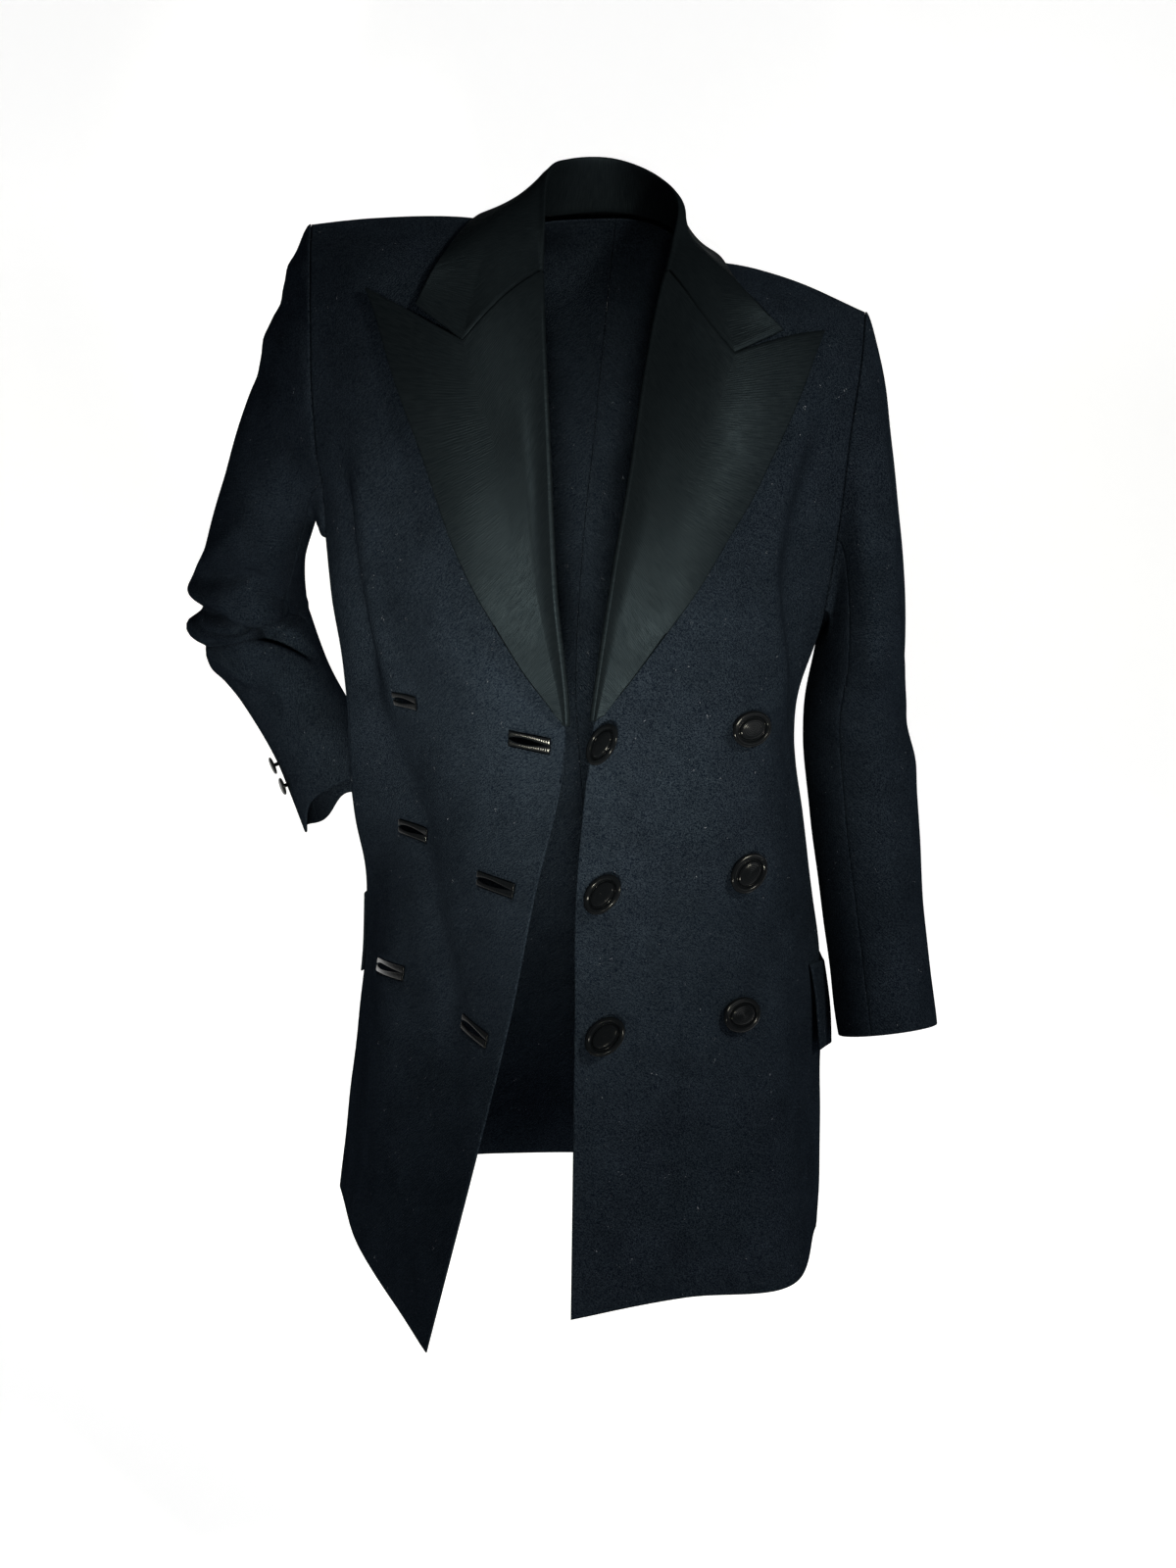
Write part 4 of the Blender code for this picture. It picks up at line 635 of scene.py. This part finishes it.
def halfBlock(front, arm):
    side = front["side"]
    grids, normals = {}, {}
    grids["front"], distances = frontGrid(front)
    grids["back"] = backGrid(side, grids["front"][-1])
    grids["side"] = sideGrid(side, grids["front"], grids["back"])
    for word in ("front", "back", "side"):
        normals[word] = trunkNormals(grids[word])
    below = slice(None, underarmRow + 1)
    mitre(normals["front"], (below, -1), normals["side"], (slice(None), 0))
    mitre(normals["back"], (below, -1), normals["side"], (slice(None), -1))
    lift = foldHeight(front["folds"], levels[:, None], distances / cm)
    lift += softWaves(grids["front"], cloth["bodyWaves"]) * smoothRise(distances / (4 * cm))
    grids["front"] = grids["front"] + normals["front"] * lift[..., None]
    if side < 0:
        grids["front"] = tiltHoles(grids["front"], distances)
    ownCreases = [crease for crease in backCreases if crease[-1][0][0] * side > 0]  # they start on this side
    for word, creases in (("back", ownCreases), ("side", [])):
        lift = softWaves(grids[word], cloth["bodyWaves"]) + creaseHeight(grids[word], creases)
        grids[word] = grids[word] + normals[word] * lift[..., None]
    normals["back"] = trunkNormals(grids["back"])
    mitre(normals["back"], (below, -1), normals["side"], (slice(None), -1))
    rise = smoothRise(np.linspace(0, 1, sideColumns))
    for share, seam, own in ((1 - rise, grids["front"][below, -1], grids["side"][:, 0]),
                             (rise, grids["back"][below, -1], grids["side"][:, -1])):
        grids["side"] = grids["side"] + (seam - own)[:, None] * share[None, :, None]  # it follows both seams
    grids["back"][-1, neckColumns:] = shoulderSeam(grids["front"][-1])
    ring = np.concatenate((grids["front"][underarmRow:, -1][::-1], grids["side"][-1, 1:-1],
                           grids["back"][underarmRow:-1, -1]))
    grids["sleeve"] = sleeveGrid(side, arm, ring)
    normals["sleeve"] = sleeveNormals(grids["sleeve"])
    free = smoothRise(np.arange(len(grids["sleeve"])) / sleeveCut["smoothRows"])[:, None]
    lift = creaseHeight(grids["sleeve"], arm["creases"]) + softWaves(grids["sleeve"], cloth["sleeveWaves"])
    grids["sleeve"] = grids["sleeve"] + normals["sleeve"] * (lift * free)[..., None]
    normals["sleeve"] = sleeveNormals(grids["sleeve"])
    frontEnd = len(levels) - underarmRow  # where the ring goes over from the front to the side and the back
    sideEnd = frontEnd + sideColumns - 2
    mitre(normals["front"], (slice(None, underarmRow - 1, -1), -1), normals["sleeve"],
          (0, slice(0, frontEnd)))
    mitre(normals["side"], (-1, slice(1, -1)), normals["sleeve"], (0, slice(frontEnd, sideEnd)))
    mitre(normals["back"], (slice(underarmRow, -1), -1), normals["sleeve"], (0, slice(sideEnd, None)))
    shareShoulder(grids, normals)
    arm["frontSeam"] = len(levels) - 1 - seamRow
    arm["backSeam"] = sideEnd + seamRow - underarmRow
    return grids, normals


halves = [(rightFront, rightArm), (leftFront, leftArm)]
built = [halfBlock(front, arm) for front, arm in halves]
mitre(built[0][1]["back"], (slice(None), 0), built[1][1]["back"], (slice(None), 0))
for (front, arm), (grids, normals) in zip(halves, built):
    word, side = front["word"], front["side"]
    node = word.lower()
    windows = []
    if side < 0:
        for level, start, length, _ in holeRows["places"]:
            c0, c1 = (int(np.argmin(np.abs(columnMarks - mark))) for mark in (start, start + length))
            half = holeRows["halfHeight"] / holeRows["levelHeight"][level]
            r0, r1 = (int(np.argmin(np.abs(levels - level + step))) for step in (half, -half))
            windows.append((r0, r1, c0, c1))
        holeWindows = windows
    for piece, seams, cuts in (("Front", ("end", "top"), windows), ("Side", ("start", "end", "top"), ()),
                               ("Back", ("start", "end", "top"), ())):
        clothShell("wool" + word + piece, piece.lower() + "_" + node, grids[piece.lower()],
                   normals[piece.lower()], cloth["woolThickness"], wool, seams, cuts)
    ring = grids["sleeve"].shape[1]
    top = np.concatenate((np.arange(arm["backSeam"], ring), np.arange(arm["frontSeam"] + 1)))
    under = np.arange(arm["frontSeam"], arm["backSeam"] + 1)
    for piece, order in (("Top", top), ("Under", under)):
        clothShell("wool" + word + piece + "Sleeve", "sleeve_" + piece.lower() + "_" + node,
                   grids["sleeve"][:, order], normals["sleeve"][:, order], cloth["sleeveThickness"], wool,
                   ("bottom", "start", "end"), (), *sleeveSeam)
print("body and sleeves made")


# Lapels: places on a front are a level and a share of its width; lifts are centimetres above the cloth
fallSteps = (0, .13, .26, .38, .5, .67, .83, 1)
acrossPlaces = np.concatenate((spread([0, 2], .125), spread([2, 6, 9], .09)[1:]))
notchColumn = int(np.argmin(np.abs(acrossPlaces - 6)))
rightLapel = dict(
    gorge=(6.98, 0), notch=(5.90, .308, .70), collarTip=(6.28, .483, .90),
    edge=[  # place from the break to the peak, level, share, lift
        (0, 3.20, .030, .60), (.14, 3.44, .118, 1.20), (.32, 3.84, .212, 1.60),
        (.52, 4.38, .328, 1.50), (.68, 4.86, .432, 1.10), (.86, 5.72, .592, .80), (1, 6.50, .692, .70)])
leftLapel = dict(
    gorge=(7.02, 0), notch=(6.24, .350, .70), collarTip=(6.63, .545, 1.00),
    edge=[(0.00, 3.18, .030, .50), (0.14, 3.42, .118, .65), (0.32, 3.82, .230, .80), (0.52, 4.40, .366, .80),
          (0.68, 4.90, .500, .80), (0.86, 5.78, .655, .80), (1.00, 6.90, .758, .70)])
lapelCut = dict(breakLevel=3.15, rollShare=.3, lipRadius=3.2 * mm)
levelSteps, shareSteps = 100, 400  # of the dense tables, for each level and for the whole width


def frontSurface(front):  # dense tables of a front's places, normals, directions to its edge and widths
    curves = sectionCurves(front["sections"], np.linspace(0, 8, 8 * levelSteps + 1))
    grid = alongRows(curves, runLength(curves)[:, -1:] * np.linspace(0, 1, shareSteps + 1))
    normals = gridNormals(grid)
    toEdge = -unit(np.gradient(grid, axis=1))
    return grid, normals if normals[..., 1].mean() < 0 else -normals, toEdge, runLength(curves)[:, -1]


def onFront(surface, level, share):
    place = [readGrid(table, level * levelSteps, share * shareSteps) for table in surface[:3]]
    return place[0], unit(place[1]), unit(place[2])


def lapelGrid(surface, lapel, place, across):
    # below the lip a quarter roll round the front's edge; beyond it level and share run straight from the
    # roll line to the outer edge, bent by place³ onto the gorge seam and the notch's edge at the top
    place, across = np.broadcast_arrays(place[:, None], across[None, :])
    table = np.array(lapel["edge"])
    edge = glide(table[:, 0], table[:, 1:], place[:, 0])[:, None]
    gorge, notch, peak = np.array(lapel["gorge"]), np.array(lapel["notch"][:2]), table[-1, 1:3]
    rollLevel = lapelCut["breakLevel"] + (gorge[0] - lapelCut["breakLevel"]) * place
    step = np.interp(across, np.arange(2, 10), fallSteps)[..., None]
    straight = np.stack((rollLevel, 0 * place), axis=-1) * (1 - step) + edge[..., :2] * step
    top = np.where(step <= .5, gorge + (notch - gorge) * step / .5,
                   notch + (peak - notch) * (step - .5) / .5)
    wanted = straight + (top - gorge * (1 - step) - peak * step) * place[..., None] ** 3
    point, normal, toEdge = onFront(surface, wanted[..., 0], wanted[..., 1])
    low = lapelCut["lipRadius"]
    rise = np.sin(np.pi / 2 * np.clip(step / lapelCut["rollShare"], 0, 1))
    fall = point + normal * (low + (edge[..., 2:] * cm - low) * rise)
    angle = np.radians(-50 + 70 * across)[..., None]
    lip = point + low * (toEdge * np.cos(angle) + normal * np.sin(angle))
    return np.where(across[..., None] < 2, lip, fall)


def gorgeRow(surface, lapel, top):  # the lapel's top row to the notch, then straight on to the collar's tip
    level, share, lift = lapel["collarTip"]
    point, normal, _ = onFront(surface, np.array([level]), np.array([share]))
    tip = point[0] + normal[0] * lift * cm
    step = ((acrossPlaces[notchColumn:] - 6) / 3)[:, None]
    return np.concatenate((top[:notchColumn], top[notchColumn] * (1 - step) + tip * step))


gorges = []
surfaces = [frontSurface(front) for front, _ in halves]
for (front, _), lapel, surface in zip(halves, (rightLapel, leftLapel), surfaces):
    grid = lapelGrid(surface, lapel, np.linspace(0, 1, 150), acrossPlaces)
    normals = trunkNormals(grid)
    clothShell("satin" + front["word"] + "Lapel", "lapel_" + front["word"].lower(), grid, normals,
               cloth["satinThickness"], satin, ("top",), (), satinSeam)
    gorges.append(gorgeRow(surface, lapel, grid[-1]))

# Collar, from the right front round the back to the left: neck seam, top of the roll, outer edge and swell
collarCut = dict(
    stations=[((-3.9, -2.7, -1.2), (-3.7, -3.0, 0.0), (-11.5, -6.9, -2.0), .4),
              ((-4.5, 1.0, .5), (-3.4, 1.0, 4.0), (-8.6, 1.2, 1.1), -.3),
              ((-2.7, 5.1, .7), (-1.7, 4.6, 4.9), (-4.5, 7.4, .2), .2),
              ((1.7, 6.9, .9), (1.7, 6.2, 4.9), (1.8, 9.3, -1.0), .3),
              ((5.8, 5.1, 0.0), (4.9, 4.6, 3.7), (7.6, 7.2, -1.5), .1),
              ((7.0, 1.0, -1.9), (6.5, 1.0, 1.8), (9.8, 1.2, -2.1), -.9),
              ((5.7, -2.7, -2.8), (6.0, -3.0, -1.1), (11.1, -6.2, -4.0), .2)],
    rollRadius=3 * mm, rows=185)


def collarSection(station):  # up the stand, over the roll and down the fall, which swells by a half sine
    seam, roll, outer = np.array(station[:3]) * cm
    outward = unit((outer - roll) * (1, 1, 0))
    start = roll + outward * 2 * collarCut["rollRadius"] - np.array((0, 0, .6 * collarCut["rollRadius"]))
    away = unit(np.cross(outer - start, np.cross((0, 0, 1), outer - start)))
    step = np.array(fallSteps)[:, None]
    fall = start * (1 - step) + outer * step + away * station[3] * cm * np.sin(np.pi * step)
    return glide(np.arange(10), np.concatenate((seam[None], roll[None], fall)), acrossPlaces)


sections = np.array([gorges[0]] + [collarSection(station) for station in collarCut["stations"]] + [gorges[1]])
grid = glide(np.arange(len(sections)), sections, np.linspace(0, len(sections) - 1, collarCut["rows"]))
normals = gridNormals(grid)
if normals[:, len(acrossPlaces) // 3:, 2].mean() < 0:
    normals = -normals
clothShell("satinCollar", "collar", grid, normals, cloth["satinThickness"], satin, ("bottom", "top"), (),
           satinSeam)
print("lapels and collar made")

# Pocket flaps: ends as centimetres from the side seam, levels, and how far the lower front corner stands off
rightFlap = dict(front=.5, back=15.0, bottom=.80, top=1.22, standOff=1.0)
leftFlap = dict(front=-3.0, back=11.5, bottom=.74, top=1.16, standOff=6.0)
flapCut = dict(rows=30, columns=80, seat=.8 * mm)
for (front, _), (grids, _), flap in zip(halves, built, (rightFlap, leftFlap)):
    seam = grids["front"].shape[1] - 1
    below = slice(None, underarmRow)
    lines = np.concatenate((grids["front"][below], grids["side"][below, 1:], grids["back"][below, -2::-1]),
                           axis=1)
    at = np.linspace(flap["bottom"], flap["top"], flapCut["rows"])
    rows = np.interp(at, levels[:underarmRow], np.arange(underarmRow))[:, None] + np.zeros(lines.shape[1])
    lines = readGrid(lines, rows, np.broadcast_to(np.arange(lines.shape[1]), rows.shape).astype(float))
    start = runLength(lines)[:, seam:seam + 1]
    grid = alongRows(lines, start + np.linspace(flap["front"], flap["back"], flapCut["columns"])[None] * cm)
    normals = trunkNormals(grid)
    fall = ((flap["top"] - at) / (flap["top"] - flap["bottom"]))[:, None, None]
    forward = (1 - .5 * np.linspace(0, 1, flapCut["columns"]))[None, :, None]
    off = cloth["flapThickness"] + flapCut["seat"]
    grid = grid + normals * (off + flap["standOff"] * mm * fall * forward)
    clothShell("wool" + front["word"] + "Flap", "flap_" + front["word"].lower(), grid, normals,
               cloth["flapThickness"], wool)
print("flaps made")

# Bound buttonholes: two rolled lips fill each window, and the slit between them opens towards the front edge
holeLook = dict(rise=.8, depth=1.6, slit=.36, opens=.62, outerEdge=.07, rings=60, sides=24)
along = np.linspace(.012, .988, holeLook["rings"])
turn = np.linspace(0, 2 * np.pi, holeLook["sides"] + 1)[:-1]
gap = holeLook["slit"] * np.sin(np.pi * np.clip(1 - along, 0, 1) ** holeLook["opens"]) ** 1.3 + .012
innerEdge = .5 - gap / 2
middle, half = (holeLook["outerEdge"] + innerEdge) / 2, (innerEdge - holeLook["outerEdge"]) / 2
lip = middle[:, None] + half[:, None] * np.sign(np.cos(turn)) * np.abs(np.cos(turn)) ** .7
height = np.where(np.sin(turn) > 0, holeLook["rise"], holeLook["depth"])
height = height * np.sign(np.sin(turn)) * np.abs(np.sin(turn)) ** .8
endFade = (np.clip(np.minimum(along, 1 - along) / .03, 0.15, 1) ** .5)[:, None]
for index, (r0, r1, c0, c1) in enumerate(holeWindows, start=1):
    patch, patchNormals = (table["front"][r0:r1 + 1, c0:c1 + 1] for table in built[0])
    parts = []
    for lower in (True, False):
        across = lip if lower else 1 - lip
        column = along[:, None] * (c1 - c0) + 0 * across
        point = readGrid(patch, across * (r1 - r0), column)
        normal = unit(readGrid(patchNormals, across * (r1 - r0), column))
        rings = point + normal * (height * endFade)[..., None] * mm
        parts.append(loftParts(rings if lower else rings[:, ::-1]))
    loftedPiece("satinHole%d" % index, "buttonhole_%d" % index, parts, paintedShadeTrim)
print("buttonholes made")

# Covered buttons: turned profiles as half length, half width and height in millimetres, from the shank up
ovalHead = dict(profile=[(3.0, 3.0, 0.0), (8.0, 6.0, .1), (13.0, 9.8, .4), (15.8, 12.3, .9),
                         (17.0, 13.3, 1.8), (17.2, 13.5, 2.7), (16.6, 12.9, 3.7), (15.3, 11.7, 4.3),
                         (13.9, 10.4, 4.2), (12.9, 9.4, 3.5), (12.3, 8.8, 2.5), (11.9, 8.4, 2.2),
                         (11.4, 7.9, 2.6), (10.9, 7.5, 3.6), (9.9, 6.7, 4.3), (7.5, 5.1, 4.7),
                         (4.0, 2.7, 4.95), (.6, .4, 5.0)],
                sides=72, shank=4.0, rings=90)
cuffHead = dict(profile=[(1.6, 1.6, 0.0), (5.0, 5.0, .2), (7.2, 7.2, .8), (7.5, 7.5, 1.6), (6.9, 6.9, 2.5),
                         (5.4, 5.4, 3.1), (3.0, 3.0, 3.4), (.4, .4, 3.5)],
                sides=48, shank=3.6, rings=40, places=(3.9 * cm, 6.1 * cm))
frontButtons = [  # level, centimetres from the edge, how far the long axis turns up, how far the head leans
    (3, 2.1, 52, 50), (2, 2.1, 42, 34), (1, 2.2, 38, 34), (3, 13.4, 14, 8), (2, 13.4, 38, 10),
    (1, 13.5, 6, 8)]
buttonSeat = .3 * mm


def buttonSkin(head, point, normal, tangent, turn, lean):
    # ovals in the plane of the head, stacked along its axis by the profile, over a straight shank
    across = np.cross(normal, tangent)
    longAxis = tangent * np.cos(turn) + across * np.sin(turn)
    levelAxis = np.cross(normal, longAxis)
    shortAxis = levelAxis * np.cos(lean) - normal * np.sin(lean)
    axis = np.cross(longAxis, shortAxis)
    profile = np.array(head["profile"])
    places = glide(np.arange(len(profile)), profile, np.linspace(0, len(profile) - 1, head["rings"])) * mm
    height = max(head["shank"] * mm, profile[:, 1].max() * mm * np.sin(lean) + 1.2 * mm)
    angle = np.linspace(0, 2 * np.pi, head["sides"], endpoint=False)[None, :, None]
    rings = (point + normal * height + axis * places[:, None, 2:]
             + longAxis * places[:, None, :1] * np.cos(angle)
             + shortAxis * places[:, None, 1:2] * np.sin(angle))
    shank = profile[0, 0] * mm * (longAxis * np.cos(angle) + levelAxis * np.sin(angle))
    foot = point + normal * buttonSeat + shank
    return loftParts(np.concatenate((foot, rings)))


for index, (level, distance, turn, lean) in enumerate(frontButtons, start=1):
    width = surfaces[1][3][level * levelSteps]
    at = np.array([float(level)])
    share = (distance - holeRows["edgeRoll"] * smoothRise(level - 2)) * cm / width
    point, normal, toEdge = (table[0] for table in onFront(surfaces[1], at, np.array([share])))
    lift = foldHeight(leftFront["folds"], at, np.array([share * width / cm]))[0]
    point = point + normal * (lift + softWaves(point[None], cloth["bodyWaves"])[0])
    loftedPiece("satinButton%d" % index, "button_%d" % index,
                [buttonSkin(ovalHead, point, normal, -toEdge, np.radians(turn), np.radians(lean))], paintedShadeTrim)
for (front, arm), (grids, normals) in zip(halves, built):
    word = front["word"].lower()
    column = int(np.argmin(np.abs(arm["angles"] - arm["buttons"])))
    line, lineNormals = grids["sleeve"][::-1, column], normals["sleeve"][::-1, column]
    length = runLength(line)
    for index, distance in enumerate(cuffHead["places"], start=1):
        at = int(np.argmin(np.abs(length - distance)))
        point, normal, tangent = line[at], lineNormals[at], line[at + 2] - line[at - 2]
        tangent = unit(tangent - normal * np.dot(tangent, normal))
        loftedPiece("satinCuffButton%s%d" % (front["word"], index), "cuff_button_%s_%d" % (word, index),
                    [buttonSkin(cuffHead, point, normal, tangent, 0, 0)], paintedShadeTrim)
print("buttons made")
# Studio: a pale floor that runs up into a backdrop, soft lights and the camera
studio = dict(floor=-1.25, depth=3.2, back=2.4, bend=1.2, top=4.5, halfWidth=6.0, shade=(.93, .93, .93),
              glow=.45)
turn = np.linspace(0, np.pi / 2, 24)
bend = np.stack((studio["back"] + studio["bend"] * np.sin(turn),
                 studio["floor"] + studio["bend"] * (1 - np.cos(turn))), axis=-1)
profile = np.concatenate(([[-studio["depth"] * 2, studio["floor"]], [studio["back"], studio["floor"]]],
                          bend[1:], [[studio["back"] + studio["bend"], studio["top"]]]))
points = np.array([[(x, y, z) for x in (-studio["halfWidth"], studio["halfWidth"])] for y, z in profile])
mesh = bpy.data.meshes.new("paleFloor")
index = np.arange(len(profile) * 2).reshape(-1, 2)
mesh.from_pydata(points.reshape(-1, 3).tolist(), [], tileFaces(index).reshape(-1, 4).tolist())
mesh.shade_smooth()
floorMaterial, tree, shader = newMaterial("paleFloor")
setInputs(tree, shader, {"Base Color": (*studio["shade"], 1), "Roughness": .9,
                         "Emission Color": (1, 1, 1, 1), "Emission Strength": studio["glow"]})
mesh.materials.append(floorMaterial)
floor = bpy.data.objects.new("paleFloor", mesh)
scene.collection.objects.link(floor)

lights = [  # name, kind, place, size, watts, aimed at, beam in degrees
    ("front", "SPOT", (-.05, -2.4, -.50), .16, 1150, (-.085, -.15, -.36), 15),
    ("above", "SPOT", (1.35, -1.8, .80), .2, 400, (.02, 0, -.38), 46),
    ("low", "SPOT", (-.9, -2.0, -1.0), .3, 190, (-.18, -.1, -.78), 20),
    ("left", "AREA", (1.9, -1.3, .25), 1.0, 12, (.1, 0, -.35), 0),
    ("behind", "AREA", (.6, 2.0, 1.4), 1.6, 24, (0, 0, -.4), 0)]
for name, kind, place, size, watts, aim, beam in lights:
    light = bpy.data.lights.new(name, kind)
    light.energy, light.color = watts, (1, .96, .78) if kind == "SPOT" else (1, 1, 1)
    if kind == "SPOT":
        light.spot_size, light.spot_blend, light.shadow_soft_size = np.radians(beam), 1.0, size
    else:
        light.shape, light.size = "DISK", size
    item = bpy.data.objects.new(name, light)
    away = unit(np.array(place, float) - np.array(aim, float))
    right = unit(np.cross((0, 0, 1), away))
    upward = np.cross(away, right)
    item.matrix_world = Matrix([(right[k], upward[k], away[k], place[k]) for k in range(3)] + [(0, 0, 0, 1)])
    scene.collection.objects.link(item)
world = bpy.data.worlds.new("paleRoom")
world.use_nodes = True
setInputs(world.node_tree, world.node_tree.nodes["Background"], {"Color": (1, 1, 1, 1), "Strength": .24})
scene.world = world
scene.view_settings.view_transform = "Standard"

view = dict(place=(-.0039, -2.40, .069), tilt=78, lens=70, height=36)
cameraData = bpy.data.cameras.new("photoView")
cameraData.lens, cameraData.sensor_fit, cameraData.sensor_height = view["lens"], "VERTICAL", view["height"]
camera = bpy.data.objects.new("photoView", cameraData)
camera.location, camera.rotation_euler = view["place"], (np.radians(view["tilt"]), 0, 0)
scene.collection.objects.link(camera)
scene.camera = camera
print("studio ready")
